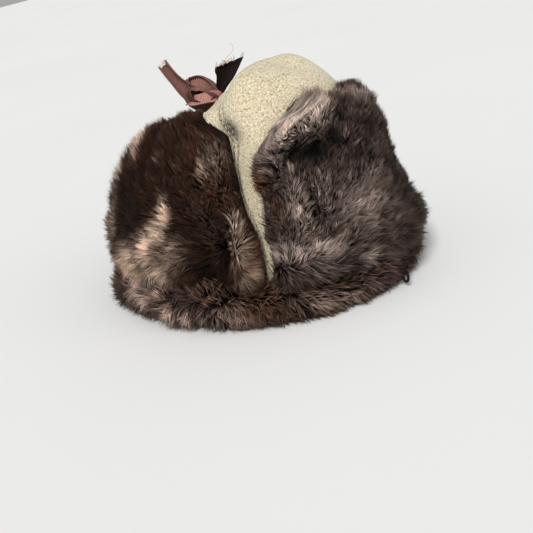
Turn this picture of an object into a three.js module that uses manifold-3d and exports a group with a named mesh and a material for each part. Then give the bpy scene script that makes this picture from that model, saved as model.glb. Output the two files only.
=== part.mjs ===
// Winter hat of felt and fur, lying on a table as it keeps its own shape.
// Millimetres, +Z up, front of the hat towards -Y, wearer's right side towards -X.
// Azimuths are degrees around the hat: 0 at the front, 90 at the wearer's right, 180 at the back.
import * as THREE from "three";
import Module from "manifold-3d";
import { mergeVertices } from "three/addons/utils/BufferGeometryUtils.js";

const wasm = await Module();
wasm.setup();

// Head opening and walls
const headLength = 196;
const headWidth = 158;
const lipThickness = 3.5;
const feltThickness = 2.5;
const clearance = 0.35;
const slotRoom = 0.75;

// Felt crown
const crownHeight = 161;
const crownEdgeHeight = 10;
const crownLean = 30;
const seamMeetY = -6;
const seamDepth = 4.5;
const seamSpread = 11;
const seamFadeHeight = 34;
const seamTipRadius = 1.4;
const feltStep = 12;

// Fur edge roll around the opening
const rollFrontHeight = 28;
const rollSideHeight = 37;
const rollFrontDepth = 14;
const rollSideDepth = 20;
const lipHeight = 24;

// Turned-up flaps
const pileDepth = 21;
const frontFlapHeight = 131;
const frontFlapLean = 19;
const frontFlapPile = 18;
const frontFlapThickness = 30;
const earFlapHeight = { right: 138, left: 122 };
const neckFlapHeight = 92;
const flapGap = 0.6;
const edgeRounding = 13;
const lockRise = 5;
const lockSweep = 3.2;
const lockWidth = 10;

// Brown tie ribbon and the small black loop
const ribbonWidth = 16;
const ribbonThickness = 1;
const knotWidth = 26;
const knotDepth = 19;
const knotHeight = 17;
const knotY = 27;
const strapAzimuth = 97;
const strapTuck = 7;
const tailBackLength = 42;
const tailFrontLength = 41;
const loopRadius = 5.2;
const loopCord = 1.8;
const loopHeight = 9;
const loopTurn = -34;

const feltHalfWidth = headWidth / 2 + lipThickness + slotRoom + feltThickness;
const feltHalfLength = headLength / 2 + lipThickness + slotRoom + feltThickness;

// The felt stands straight inside the edge roll, and closes into a dome above it
const domeFoot = Math.max(rollFrontHeight, rollSideHeight);
const domeRise = crownHeight - domeFoot;

// How fast the dome closes towards its top on each side: small is boxy, large is sloping
const closing = { side: 0.3, front: 0.61, back: 0.82 };

// Shares of the lengths above that shape the soft forms
const shares = {
  fanHeight: 0.25,
  gorePath: 0.78,
  tipBlend: 0.75,
  heelInset: 0.3,
  edgePile: 0.35,
  leastPile: 0.25,
  lockHollow: 0.25,
  cornerDrop: 0.13,
  leanCurve: 0.8,
  knotLift: 0.46,
  knotFold: 0.1,
  strapReach: 0.3,
  loopAside: 0.07,
  loopSink: 0.45,
};

// Azimuths of the four crown seams, and of the flaps' side edges at their foot and top
const seamAzimuth = { front: 56, back: 128 };
const frontFlapEdge = { foot: 52.6, top: 50 };
const earFlapEdge = { foot: 56.5, top: 60.5, rear: 139 };

// Soft dents of the felt: where along a gore, how far up it, how wide and how deep
const crownDents = [
  { azimuth: -14, rise: 0.97, spread: 11, depth: 3 },
  { azimuth: 34, rise: 0.72, spread: 20, depth: 2.5 },
  { azimuth: 66, rise: 0.62, spread: 14, depth: 2.5 },
  { azimuth: 168, rise: 0.74, spread: 26, depth: 3.5 },
  { azimuth: -92, rise: 0.78, spread: 24, depth: 3 },
];

// Upper edge of an ear flap, as a share of its full height
const earFlapOutline = [
  { azimuth: 56, share: 0.86 },
  { azimuth: 62, share: 0.95 },
  { azimuth: 72, share: 1 },
  { azimuth: 86, share: 1 },
  { azimuth: 104, share: 0.94 },
  { azimuth: 121, share: 0.83 },
  { azimuth: 132, share: 0.73 },
  { azimuth: 139, share: 0.667 },
];

// Grooves pressed into the fur: both ends as azimuth and share of height, width and share of depth
const frontFlapGrooves = [
  { azimuth: [44, 43], rise: [0.1, 0.62], spread: 8, depth: 0.4 },
  { azimuth: [42, 27], rise: [0.62, 0.9], spread: 11, depth: 0.62 },
  { azimuth: [27, 0], rise: [0.9, 0.84], spread: 9, depth: 0.25 },
  { azimuth: [20, 0], rise: [0.18, 0.2], spread: 16, depth: -0.12 },
];
const earFlapGrooves = [
  { azimuth: [72.5, 66], rise: [0.02, 0.5], spread: 7, depth: 0.42 },
  { azimuth: [96, 118], rise: [0.34, 0.2], spread: 9, depth: 0.24 },
  { azimuth: [84, 104], rise: [0.66, 0.5], spread: 14, depth: -0.08 },
];
const neckFlapGrooves = [
  { azimuth: [168, 164], rise: [0.1, 0.9], spread: 9, depth: 0.22 },
];

// Section of the edge roll: out from the felt's face and up from the table
const rollSection = [
  { out: "lip", up: "lip" },
  { out: "lip", up: 0.18 },
  { out: "heel", up: 0 },
  { out: 0.62, up: 0 },
  { out: 0.92, up: 0.17, lock: 0.7 },
  { out: 1, up: 0.42, lock: 1 },
  { out: 0.93, up: 0.68, lock: 1 },
  { out: 0.62, up: 0.9, lock: 0.8 },
  { out: "face", up: 1 },
  { out: "face", up: "seat" },
  { out: "slot", up: "seat" },
  { out: "slot", up: "lip" },
];

// Free ends of the ribbon, as shares of their own lengths from the knot
const ribbonTails = [
  {
    name: "tie_tail_back",
    length: tailBackLength,
    bend: [-0.42, 0.1, 0.2],
    reach: [-0.44, 0.28, 0.86],
    across: [-0.32, -0.86, 0.35],
  },
  {
    name: "tie_tail_front",
    length: tailFrontLength,
    bend: [0.2, -0.5, 0.12],
    reach: [0.2, -0.76, 0.62],
    across: [0.8, -0.55, 0.2],
  },
];

const colours = {
  felt: 0xd3c9a2,
  frontFur: 0x4b3b38,
  earFur: 0x3d281d,
  rollFur: 0x5b4640,
  ribbon: 0x5e4440,
  cord: 0x17130f,
};

const radians = THREE.MathUtils.degToRad;
const { clamp, lerp, smoothstep } = THREE.MathUtils;

// A repeatable number from 0 to 1 for a lock of fur
function scatter(i, j, salt) {
  const wave = Math.sin(i * 127.1 + j * 311.7 + salt * 74.7) * 43758.5453;
  return wave - Math.floor(wave);
}

// Value of one column of a table at an azimuth, with smooth steps between its rows
function along(table, azimuth, column) {
  const last = table.length - 1;
  if (azimuth <= table[0].azimuth) return table[0][column];
  for (let k = 0; k < last; k += 1) {
    const low = table[k];
    const high = table[k + 1];
    if (azimuth <= high.azimuth) {
      const share = (azimuth - low.azimuth) / (high.azimuth - low.azimuth);
      return lerp(low[column], high[column], share);
    }
  }
  return table[last][column];
}

// Horizontal section of the dome at a height: its centre and its three half sizes
function domeSection(height) {
  const rise = clamp((height - domeFoot) / domeRise, 0, 0.9999);
  const shrink = 1 - rise ** 1.5;
  return {
    centre: -crownLean * rise ** 1.3,
    side: feltHalfWidth * shrink ** closing.side,
    front: feltHalfLength * shrink ** closing.front,
    back: feltHalfLength * shrink ** closing.back,
  };
}

// Below 1 inside the smooth dome of the felt's outer face, above 1 outside
function domeGauge(point) {
  if (point.z >= crownHeight) return 1 + (point.z - crownHeight) / domeRise + 1e-3;
  const section = domeSection(point.z);
  const lengthwise = point.y - section.centre;
  const reach = lengthwise < 0 ? section.front : section.back;
  return Math.hypot(point.x / section.side, lengthwise / reach);
}

function domeNormal(point) {
  const step = 0.5;
  const normal = new THREE.Vector3();
  for (const axis of ["x", "y", "z"]) {
    const ahead = point.clone();
    const behind = point.clone();
    ahead[axis] += step;
    behind[axis] -= step;
    normal[axis] = domeGauge(ahead) - domeGauge(behind);
  }
  return normal.normalize();
}

// Point where a line from inside the hat meets the smooth dome
function domeHit(origin, direction) {
  let inside = 0;
  let outside = headLength + crownHeight;
  for (let k = 0; k < 40; k += 1) {
    const middle = (inside + outside) / 2;
    const probe = origin.clone().addScaledVector(direction, middle);
    if (domeGauge(probe) < 1) inside = middle;
    else outside = middle;
  }
  return origin.clone().addScaledVector(direction, inside);
}

function azimuthDirection(azimuth) {
  return new THREE.Vector3(-Math.sin(radians(azimuth)), -Math.cos(radians(azimuth)), 0);
}

function azimuthOf(point) {
  return THREE.MathUtils.radToDeg(Math.atan2(-point.x, -(point.y - seamMeetY)));
}

// Point of the smooth dome at an azimuth and a height
function domeAt(azimuth, height) {
  const origin = new THREE.Vector3(0, seamMeetY, height);
  return domeHit(origin, azimuthDirection(azimuth));
}

// Point of the smooth dome above a place in plan
function domeAbove(x, y) {
  return domeHit(new THREE.Vector3(x, y, crownEdgeHeight), new THREE.Vector3(0, 0, 1));
}

// Two triangles for a quad of a grid, split so that every second point stands as a peak
function splitQuad(indices, parity, a, b, c, d) {
  if (parity % 2 === 0) indices.push(a, b, d, b, c, d);
  else indices.push(a, b, c, a, c, d);
}

// Closed solid between two grids of points that share their edges' outline
function slab(columns, rows, outerPoint, innerPoint) {
  const positions = [];
  const indices = [];
  const index = (side, i, j) => (side * (rows + 1) + j) * (columns + 1) + i;
  for (const pointAt of [outerPoint, innerPoint]) {
    for (let j = 0; j <= rows; j += 1) {
      for (let i = 0; i <= columns; i += 1) positions.push(...pointAt(i, j).toArray());
    }
  }
  const quad = (a, b, c, d) => indices.push(a, b, c, a, c, d);
  for (let j = 0; j < rows; j += 1) {
    for (let i = 0; i < columns; i += 1) {
      const outer = [index(0, i, j), index(0, i + 1, j), index(0, i + 1, j + 1), index(0, i, j + 1)];
      const inner = [index(1, i, j), index(1, i, j + 1), index(1, i + 1, j + 1), index(1, i + 1, j)];
      splitQuad(indices, i + j, ...outer);
      splitQuad(indices, i + j, ...inner);
    }
  }
  for (let i = 0; i < columns; i += 1) {
    quad(index(1, i, 0), index(1, i + 1, 0), index(0, i + 1, 0), index(0, i, 0));
    quad(index(0, i, rows), index(0, i + 1, rows), index(1, i + 1, rows), index(1, i, rows));
  }
  for (let j = 0; j < rows; j += 1) {
    quad(index(0, 0, j), index(0, 0, j + 1), index(1, 0, j + 1), index(1, 0, j));
    quad(index(1, columns, j), index(1, columns, j + 1), index(0, columns, j + 1), index(0, columns, j));
  }
  return facingOut(positions, indices);
}

// Closed ring from a grid that joins itself both ways
function ring(columns, around, pointAt) {
  const positions = [];
  const indices = [];
  for (let i = 0; i < columns; i += 1) {
    for (let k = 0; k < around; k += 1) positions.push(...pointAt(i, k).toArray());
  }
  const index = (i, k) => (i % columns) * around + (k % around);
  for (let i = 0; i < columns; i += 1) {
    for (let k = 0; k < around; k += 1) {
      splitQuad(indices, i + k, index(i, k), index(i + 1, k), index(i + 1, k + 1), index(i, k + 1));
    }
  }
  return facingOut(positions, indices);
}

// Geometry whose faces point outwards, whichever way its grid ran
function facingOut(positions, indices) {
  const corner = (k) => new THREE.Vector3().fromArray(positions, indices[k] * 3);
  let volume = 0;
  for (let k = 0; k < indices.length; k += 3) {
    volume += corner(k).dot(corner(k + 1).cross(corner(k + 2)));
  }
  if (volume < 0) indices.reverse();
  const geometry = new THREE.BufferGeometry();
  geometry.setAttribute("position", new THREE.Float32BufferAttribute(positions, 3));
  geometry.setIndex(indices);
  return geometry;
}

function weld(geometry) {
  const bare = geometry.clone();
  bare.deleteAttribute("normal");
  bare.deleteAttribute("uv");
  return mergeVertices(bare, 1e-4);
}

function toSolid(geometry) {
  const welded = weld(geometry);
  return new wasm.Manifold(new wasm.Mesh({
    numProp: 3,
    vertProperties: new Float32Array(welded.attributes.position.array),
    triVerts: new Uint32Array(welded.index.array),
  }));
}

function fromSolid(solid) {
  const mesh = solid.getMesh();
  const geometry = new THREE.BufferGeometry();
  geometry.setAttribute("position", new THREE.Float32BufferAttribute(mesh.vertProperties, 3));
  geometry.setIndex(Array.from(mesh.triVerts));
  return geometry;
}

// How far the felt is pulled in at a place by its seams and soft dents
function feltPull(azimuth, point) {
  const radius = Math.hypot(point.x, point.y - seamMeetY);
  const fade = smoothstep(point.z, domeFoot, domeFoot + seamFadeHeight);
  let pull = 0;
  for (const seam of [seamAzimuth.front, -seamAzimuth.front, seamAzimuth.back, -seamAzimuth.back]) {
    const turn = Math.abs(((azimuth - seam + 540) % 360) - 180);
    const distance = radians(turn) * radius;
    pull = Math.max(pull, seamDepth * Math.exp(-((distance / seamSpread) ** 2)));
  }
  for (const dent of crownDents) {
    const bottom = domeAt(dent.azimuth, dent.rise * crownHeight);
    const distance = bottom.distanceTo(point);
    pull += dent.depth * Math.exp(-((distance / dent.spread) ** 2));
  }
  return pull * fade;
}

// One felt gore between two seams, a curved wall of even thickness
function crownGore(fromAzimuth, toAzimuth) {
  const arc = radians(toAzimuth - fromAzimuth) * (feltHalfWidth + feltHalfLength) / 2;
  const columns = Math.round(arc / feltStep);
  const rows = Math.round((crownHeight - seamMeetY) * shares.gorePath / feltStep);
  const core = new THREE.Vector3(0, seamMeetY, crownHeight * shares.fanHeight);
  const tipGap = Math.atan(seamTipRadius / (crownHeight - core.z));
  const feltPoint = (i, j, depth) => {
    const middle = (i / columns) * (toAzimuth - fromAzimuth) + fromAzimuth;
    const foot = domeAt(middle, crownEdgeHeight);
    const footRadius = Math.hypot(foot.x, foot.y - seamMeetY);
    const lowest = Math.atan2(crownEdgeHeight - core.z, footRadius);
    const tilt = lerp(lowest, Math.PI / 2 - tipGap, j / rows);
    const place = (azimuth) => {
      const level = azimuthDirection(azimuth).multiplyScalar(Math.cos(tilt));
      return domeHit(core, level.setZ(Math.sin(tilt)));
    };
    const rough = place(middle);
    const radius = Math.hypot(rough.x, rough.y - seamMeetY);
    const inset = THREE.MathUtils.radToDeg(clearance / 2 / radius);
    const azimuth = clamp(middle, fromAzimuth + inset, toAzimuth - inset);
    const point = place(azimuth);
    const pull = feltPull(azimuth, point) + depth;
    const normal = domeNormal(point);
    if (j === 0) normal.setZ(0).normalize();
    const side = azimuthDirection(azimuth + 90);
    normal.addScaledVector(side, -normal.dot(side)).normalize();
    const outward = point.clone().sub(core).normalize();
    normal.lerp(outward, smoothstep(j / rows, shares.tipBlend, 1)).normalize();
    return point.addScaledVector(normal, -pull);
  };
  const outer = (i, j) => feltPoint(i, j, 0);
  const inner = (i, j) => feltPoint(i, j, feltThickness);
  return slab(columns, rows, outer, inner);
}

// Height of the edge roll's top, where the turned-up flaps start
function rollTop(azimuth) {
  const toSide = smoothstep(Math.abs(azimuth), earFlapEdge.foot - 4, earFlapEdge.foot + 22);
  return lerp(rollFrontHeight, rollSideHeight, toSide);
}

function rollDepth(azimuth) {
  const toSide = smoothstep(Math.abs(azimuth), earFlapEdge.foot - 8, earFlapEdge.foot + 22);
  return lerp(rollFrontDepth, rollSideDepth, toSide);
}

// Share of the pile pressed away by grooves at a place, negative where it swells
function pressed(grooves, azimuth, rise, foot, top) {
  let press = 0;
  const here = new THREE.Vector2(radians(azimuth) * feltHalfLength, rise * (top - foot));
  for (const groove of grooves) {
    const start = new THREE.Vector2(radians(groove.azimuth[0]) * feltHalfLength, groove.rise[0] * (top - foot));
    const end = new THREE.Vector2(radians(groove.azimuth[1]) * feltHalfLength, groove.rise[1] * (top - foot));
    const run = end.clone().sub(start);
    const share = clamp(here.clone().sub(start).dot(run) / run.lengthSq(), 0, 1);
    const distance = start.addScaledVector(run, share).distanceTo(here);
    press += groove.depth * Math.exp(-((distance / groove.spread) ** 2));
  }
  return press;
}

// Pile left near a flap's edge, where the fur rounds over
function roundedShare(distance) {
  const inward = clamp(distance / edgeRounding, 0, 1);
  return lerp(shares.edgePile, 1, Math.sqrt(1 - (1 - inward) ** 2));
}

// Fur flap between two azimuths: a backing that follows the felt, with locks standing out
function furFlap(shape) {
  const { edges, footHeight, topHeight, grooves, salt, wall, sweep, pileHeight } = shape;
  const middleArc = radians(Math.abs(edges(0)[1] - edges(0)[0])) * (feltHalfLength + pileHeight / 2);
  const columns = Math.round(middleArc / lockWidth);
  const middle = (edges(0)[0] + edges(0)[1]) / 2;
  const rows = Math.round((topHeight(middle) - footHeight(middle)) / lockWidth) + 1;
  const place = (i, j) => {
    const rise = clamp(j / rows, 0, 1);
    const [start, end] = edges(rise);
    const azimuth = lerp(start, end, clamp(i / columns, 0, 1));
    const foot = footHeight(azimuth) + clearance;
    return { azimuth, rise, foot, height: lerp(foot, topHeight(azimuth), rise) };
  };
  const seatAt = (azimuth, height) => {
    const onFelt = domeAt(azimuth, height);
    return onFelt.addScaledVector(domeNormal(onFelt), flapGap);
  };
  const outer = (i, j) => {
    const onEdge = i === 0 || i === columns || j === 0 || j === rows;
    const stands = (i + j) % 2 === 0;
    const lean = stands && !onEdge ? lockSweep / lockWidth : 0;
    const { azimuth, rise, foot, height } = place(i + lean * sweep.around, j + lean * sweep.up);
    const width = radians(edges(rise)[1] - edges(rise)[0]) * feltHalfLength;
    const fromSide = Math.min(i, columns - i) / columns * Math.abs(width);
    const fromEnd = Math.min(rise, 1 - rise) * (topHeight(azimuth) - foot);
    const share = roundedShare(Math.min(fromSide, fromEnd));
    const press = pressed(grooves, Math.abs(azimuth), rise, foot, topHeight(azimuth));
    const tuft = lockRise * (stands ? lerp(shares.edgePile, 1, scatter(i, j, salt)) : -shares.lockHollow);
    const pile = pileHeight * share * (1 - press) + tuft * share;
    return wall(azimuth, height, rise, Math.max(pile, pileHeight * shares.leastPile));
  };
  const inner = (i, j) => {
    const { azimuth, rise, height } = place(i, j);
    return shape.back ? shape.back(azimuth, height, rise) : seatAt(azimuth, height);
  };
  return slab(columns, rows, outer, inner);
}

// Pile standing straight off the felt
function offTheFelt(azimuth, height, rise, pile) {
  const onFelt = domeAt(azimuth, height);
  return onFelt.addScaledVector(domeNormal(onFelt), flapGap + pile);
}

// Point of the upright front flap's outer face, drawn in by a part of its depth
function frontWall(azimuth, height, rise, pile) {
  const radius = (share) => {
    const lean = frontFlapLean * rise ** shares.leanCurve;
    const direction = azimuthDirection(azimuth);
    const halfWidth = feltHalfWidth + flapGap + share - lean;
    const halfLength = feltHalfLength + flapGap + share - lean;
    const origin = new THREE.Vector2(0, seamMeetY / halfLength);
    const run = new THREE.Vector2(direction.x / halfWidth, direction.y / halfLength);
    const half = origin.dot(run) / run.lengthSq();
    return -half + Math.sqrt(half * half - (origin.lengthSq() - 1) / run.lengthSq());
  };
  const point = azimuthDirection(azimuth).multiplyScalar(radius(pile));
  return point.add(new THREE.Vector3(0, seamMeetY, height));
}

// Back of the front flap: on the felt below, standing free of it towards the top
function frontBack(azimuth, height, rise) {
  const onFelt = domeAt(azimuth, height);
  onFelt.addScaledVector(domeNormal(onFelt), flapGap);
  const upright = frontWall(azimuth, height, rise, frontFlapPile - frontFlapThickness);
  const feltReach = Math.hypot(onFelt.x, onFelt.y - seamMeetY);
  const wallReach = Math.hypot(upright.x, upright.y - seamMeetY);
  return wallReach > feltReach ? upright : onFelt.setZ(height);
}

function frontFlap() {
  const cornerDrop = frontFlapHeight * shares.cornerDrop;
  return furFlap({
    edges: (rise) => {
      const edge = lerp(frontFlapEdge.foot, frontFlapEdge.top, rise);
      return [-edge, edge];
    },
    footHeight: rollTop,
    topHeight: (azimuth) => {
      const toCorner = smoothstep(Math.abs(azimuth), frontFlapEdge.top * 0.5, frontFlapEdge.top);
      return frontFlapHeight - cornerDrop * toCorner;
    },
    grooves: frontFlapGrooves,
    pileHeight: frontFlapPile,
    salt: 3,
    sweep: { around: -1, up: 1 },
    wall: frontWall,
    back: frontBack,
  });
}

// Ear flap, on the wearer's right where side is 1 and on the left where it is -1
function earFlap(side) {
  const fullHeight = side > 0 ? earFlapHeight.right : earFlapHeight.left;
  return furFlap({
    edges: (rise) => {
      const front = lerp(earFlapEdge.foot, earFlapEdge.top, rise);
      return [side * front, side * earFlapEdge.rear];
    },
    footHeight: rollTop,
    topHeight: (azimuth) => fullHeight * along(earFlapOutline, Math.abs(azimuth), "share"),
    grooves: earFlapGrooves,
    pileHeight: pileDepth,
    salt: 11 + side,
    sweep: { around: 0.6, up: -1 },
    wall: offTheFelt,
  });
}

function neckFlap() {
  const rearGap = THREE.MathUtils.radToDeg(clearance / feltHalfWidth);
  const start = earFlapEdge.rear + rearGap;
  return furFlap({
    edges: () => [start, 360 - start],
    footHeight: () => rollSideHeight,
    topHeight: () => neckFlapHeight,
    grooves: neckFlapGrooves,
    pileHeight: pileDepth,
    salt: 23,
    sweep: { around: 0.3, up: -1 },
    wall: offTheFelt,
  });
}

// Fur roll that wraps the felt's lower edge, flat underneath
function edgeRoll() {
  const columns = 4 * Math.round((feltHalfWidth + feltHalfLength) * Math.PI / lockWidth / 4);
  const outwards = (name, depth) => {
    if (name === "lip") return -(feltThickness + slotRoom + lipThickness);
    if (name === "heel") return -(feltThickness + slotRoom) - lipThickness * shares.heelInset;
    if (name === "slot") return -(feltThickness + slotRoom);
    if (name === "face") return clearance;
    return clearance + name * depth;
  };
  const upwards = (name, top) => {
    if (name === "lip") return lipHeight;
    if (name === "seat") return crownEdgeHeight - clearance;
    return name * top;
  };
  return ring(columns, rollSection.length, (i, k) => {
    const turn = (i / columns) * Math.PI * 2;
    const onEdge = new THREE.Vector3(-feltHalfWidth * Math.sin(turn), -feltHalfLength * Math.cos(turn), 0);
    const normal = new THREE.Vector3(-Math.sin(turn) / feltHalfWidth, -Math.cos(turn) / feltHalfLength, 0);
    const azimuth = azimuthOf(onEdge);
    const row = rollSection[k];
    const stands = (i + k) % 2 === 0;
    const rise = stands ? lerp(shares.edgePile, 1, scatter(i, k, 41)) : -shares.lockHollow;
    const tuft = lockRise * (row.lock ?? 0) * rise;
    const out = outwards(row.out, rollDepth(azimuth)) + tuft;
    const up = upwards(row.up, rollTop(azimuth));
    return onEdge.addScaledVector(normal.normalize(), out).setZ(up);
  });
}

// Crumpled half knot of ribbon that rests on the felt; grow widens it for cutting its neighbours
function tieKnot(grow) {
  const shape = weld(new THREE.SphereGeometry(1, 16, 11));
  const seat = domeAbove(0, knotY);
  const lift = domeNormal(seat);
  const centre = seat.clone().addScaledVector(lift, clearance + knotHeight * shares.knotLift);
  const tilt = new THREE.Quaternion().setFromUnitVectors(new THREE.Vector3(0, 0, 1), lift);
  const positions = shape.attributes.position;
  for (let k = 0; k < positions.count; k += 1) {
    const way = new THREE.Vector3().fromBufferAttribute(positions, k);
    const fold = 1 + shares.knotFold * Math.cos(3 * Math.atan2(way.z, way.x) + 2 * way.y);
    const point = new THREE.Vector3(
      way.x * (knotWidth / 2 * fold + grow),
      way.y * (knotDepth / 2 * fold + grow),
      way.z * (knotHeight / 2 + grow),
    ).applyQuaternion(tilt).add(centre);
    const core = new THREE.Vector3(point.x, point.y, crownEdgeHeight);
    const felt = domeHit(core, new THREE.Vector3(0, 0, 1));
    const lowest = felt.z + (clearance - Math.min(grow, clearance / 2)) / Math.max(domeNormal(felt).z, 0.5);
    positions.setXYZ(k, point.x, point.y, Math.max(point.z, lowest));
  }
  return { geometry: shape, centre };
}

// Ribbon along a curve; grow widens it all round for cutting its neighbours
function ribbonStrip(curve, acrossAt, columns, grow) {
  const rows = 2;
  const face = (i, j, side) => {
    const share = i / columns;
    const centre = curve.getPoint(share);
    const tangent = curve.getTangent(share);
    const across = acrossAt(share, centre).clone();
    across.addScaledVector(tangent, -across.dot(tangent)).normalize();
    const normal = tangent.clone().cross(across).normalize();
    const endwise = grow * (share === 0 ? -1 : share === 1 ? 1 : 0);
    centre.addScaledVector(tangent, endwise);
    centre.addScaledVector(across, (j / rows - 0.5) * (ribbonWidth + 2 * grow));
    return centre.addScaledVector(normal, side * (ribbonThickness / 2 + grow));
  };
  return slab(columns, rows, (i, j) => face(i, j, 1), (i, j) => face(i, j, -1));
}

// Ribbon from under the top edge of an ear flap over the felt to the knot
function tieStrap(side, knotCentre, grow) {
  const flapHeight = side > 0 ? earFlapHeight.right : earFlapHeight.left;
  const flapTop = flapHeight * along(earFlapOutline, strapAzimuth, "share");
  const start = domeAt(side * strapAzimuth, flapTop - strapTuck);
  const end = knotCentre.clone().add(new THREE.Vector3(-side * knotWidth * shares.strapReach, 0, 0));
  const points = [];
  for (let k = 0; k <= 6; k += 1) {
    const plan = start.clone().lerp(end, k / 6);
    const onFelt = domeAbove(plan.x, plan.y);
    points.push(onFelt.addScaledVector(domeNormal(onFelt), clearance + ribbonThickness / 2));
  }
  const curve = new THREE.CatmullRomCurve3(points);
  const across = (share, centre) => curve.getTangent(share).cross(domeNormal(centre)).normalize();
  return toSolid(ribbonStrip(curve, across, 10, grow));
}

// Free end of the ribbon that stands out of the knot
function tieTail(from, tail) {
  const bend = new THREE.Vector3(...tail.bend).multiplyScalar(tail.length).add(from);
  const reach = new THREE.Vector3(...tail.reach).multiplyScalar(tail.length).add(from);
  const curve = new THREE.QuadraticBezierCurve3(from.clone(), bend, reach);
  const across = new THREE.Vector3(...tail.across);
  return toSolid(ribbonStrip(curve, () => across, 7, 0));
}

// Small ring of cord caught in the fur of the front edge
function edgeLoop(radius) {
  const cordSides = 6;
  const steps = 16;
  const foot = new THREE.Vector3(-headWidth * shares.loopAside, 0, loopHeight);
  foot.y = -feltHalfLength - clearance - rollFrontDepth - loopRadius * shares.loopSink;
  const geometry = new THREE.TorusGeometry(loopRadius, radius, cordSides, steps);
  geometry.rotateY(Math.PI / 2);
  geometry.rotateZ(radians(loopTurn));
  geometry.translate(foot.x, foot.y, foot.z);
  return geometry;
}

const hat = new THREE.Group();

function addPiece(name, solid, colour, roughness) {
  const geometry = fromSolid(solid);
  const material = new THREE.MeshStandardMaterial({ color: colour, roughness, metalness: 0 });
  const mesh = new THREE.Mesh(geometry, material);
  mesh.name = name;
  hat.add(mesh);
}

const { front: frontSeam, back: backSeam } = seamAzimuth;
const gores = [
  { name: "crown_front", from: -frontSeam, to: frontSeam },
  { name: "crown_right", from: frontSeam, to: backSeam },
  { name: "crown_back", from: backSeam, to: 360 - backSeam },
  { name: "crown_left", from: 360 - backSeam, to: 360 - frontSeam },
];
for (const gore of gores) {
  addPiece(gore.name, toSolid(crownGore(gore.from, gore.to)), colours.felt, 0.95);
}

const loopPocket = toSolid(edgeLoop(loopCord / 2 + clearance));
addPiece("rim_roll", toSolid(edgeRoll()).subtract(loopPocket), colours.rollFur, 0.98);
addPiece("edge_loop", toSolid(edgeLoop(loopCord / 2)), colours.cord, 0.6);
addPiece("front_flap", toSolid(frontFlap()), colours.frontFur, 0.98);
addPiece("neck_flap", toSolid(neckFlap()), colours.earFur, 0.98);

const knot = tieKnot(0);
const knotRoom = toSolid(tieKnot(clearance).geometry);
addPiece("tie_knot", toSolid(knot.geometry), colours.ribbon, 0.8);
for (const [name, side] of [["right", 1], ["left", -1]]) {
  const strapRoom = tieStrap(side, knot.centre, clearance);
  addPiece(`ear_flap_${name}`, toSolid(earFlap(side)).subtract(strapRoom), colours.earFur, 0.98);
  addPiece(`tie_strap_${name}`, tieStrap(side, knot.centre, 0).subtract(knotRoom), colours.ribbon, 0.8);
}
for (const tail of ribbonTails) {
  addPiece(tail.name, tieTail(knot.centre, tail).subtract(knotRoom), colours.ribbon, 0.8);
}

// The middle of the hat's outline goes over the frame's origin, its lowest face on the table
const extent = new THREE.Box3().setFromObject(hat);
const middle = extent.getCenter(new THREE.Vector3());
hat.position.set(-middle.x, -middle.y, -extent.min.z);

export default hat;
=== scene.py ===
"""Winter hat of felt and fur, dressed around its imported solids.

Metres, +Z up, front of the hat towards -Y, wearer's right side towards -X.
Azimuths are degrees around the hat: 0 at the front, 90 at the wearer's right, 180 at the back.
"""

import math

import bmesh
import bpy
import numpy as np
from bpy.props import FloatProperty, FloatVectorProperty, IntProperty, PointerProperty
from mathutils import Matrix, Vector
from mathutils.kdtree import KDTree


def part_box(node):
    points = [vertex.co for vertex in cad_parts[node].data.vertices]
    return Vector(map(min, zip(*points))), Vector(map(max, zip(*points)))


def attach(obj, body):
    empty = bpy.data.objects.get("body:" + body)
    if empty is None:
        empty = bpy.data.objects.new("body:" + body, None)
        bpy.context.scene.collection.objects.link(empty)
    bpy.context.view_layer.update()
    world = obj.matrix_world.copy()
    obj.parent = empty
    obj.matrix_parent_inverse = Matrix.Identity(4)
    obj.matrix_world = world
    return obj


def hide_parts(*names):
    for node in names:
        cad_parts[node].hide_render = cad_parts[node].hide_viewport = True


bl_info = {
    "name": "Felt and fur hat",
    "version": (1, 0, 0),
    "blender": (4, 5, 0),
    "location": "View3D > Sidebar > Hat",
    "description": "Builds a felt hat with turned-up fur flaps around its packed solids",
    "category": "Object",
}

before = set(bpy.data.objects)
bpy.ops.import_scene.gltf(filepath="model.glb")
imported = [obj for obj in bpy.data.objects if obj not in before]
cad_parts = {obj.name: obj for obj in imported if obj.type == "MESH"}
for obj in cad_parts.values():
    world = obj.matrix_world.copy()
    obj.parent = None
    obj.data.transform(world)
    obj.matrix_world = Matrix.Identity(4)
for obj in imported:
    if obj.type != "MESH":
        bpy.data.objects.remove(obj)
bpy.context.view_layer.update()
MM = 0.001
SEED = 1907


def srgb(code):
    """Linear red, green and blue of an sRGB hex colour."""
    parts = [int(code[k : k + 2], 16) / 255 for k in (1, 3, 5)]
    return tuple(c / 12.92 if c <= 0.04045 else ((c + 0.055) / 1.055) ** 2.4 for c in parts)


def length(name, description, default):
    """A length in metres that a user may change."""
    return FloatProperty(
        name=name, description=description, default=default, unit="LENGTH", subtype="DISTANCE"
    )


def angle(name, description, degrees):
    """An angle, given in degrees, that a user may change."""
    return FloatProperty(name=name, description=description, default=math.radians(degrees), subtype="ANGLE")


def share(name, description, default):
    """A bare number that a user may change."""
    return FloatProperty(name=name, description=description, default=default)


def colour(name, description, code):
    """A colour that a user may change."""
    return FloatVectorProperty(
        name=name, description=description, default=srgb(code), size=3, subtype="COLOR"
    )


def hairs(name, description, default):
    """A number of locks that a user may change."""
    return IntProperty(name=name, description=description, default=default)


# Settings

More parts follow.
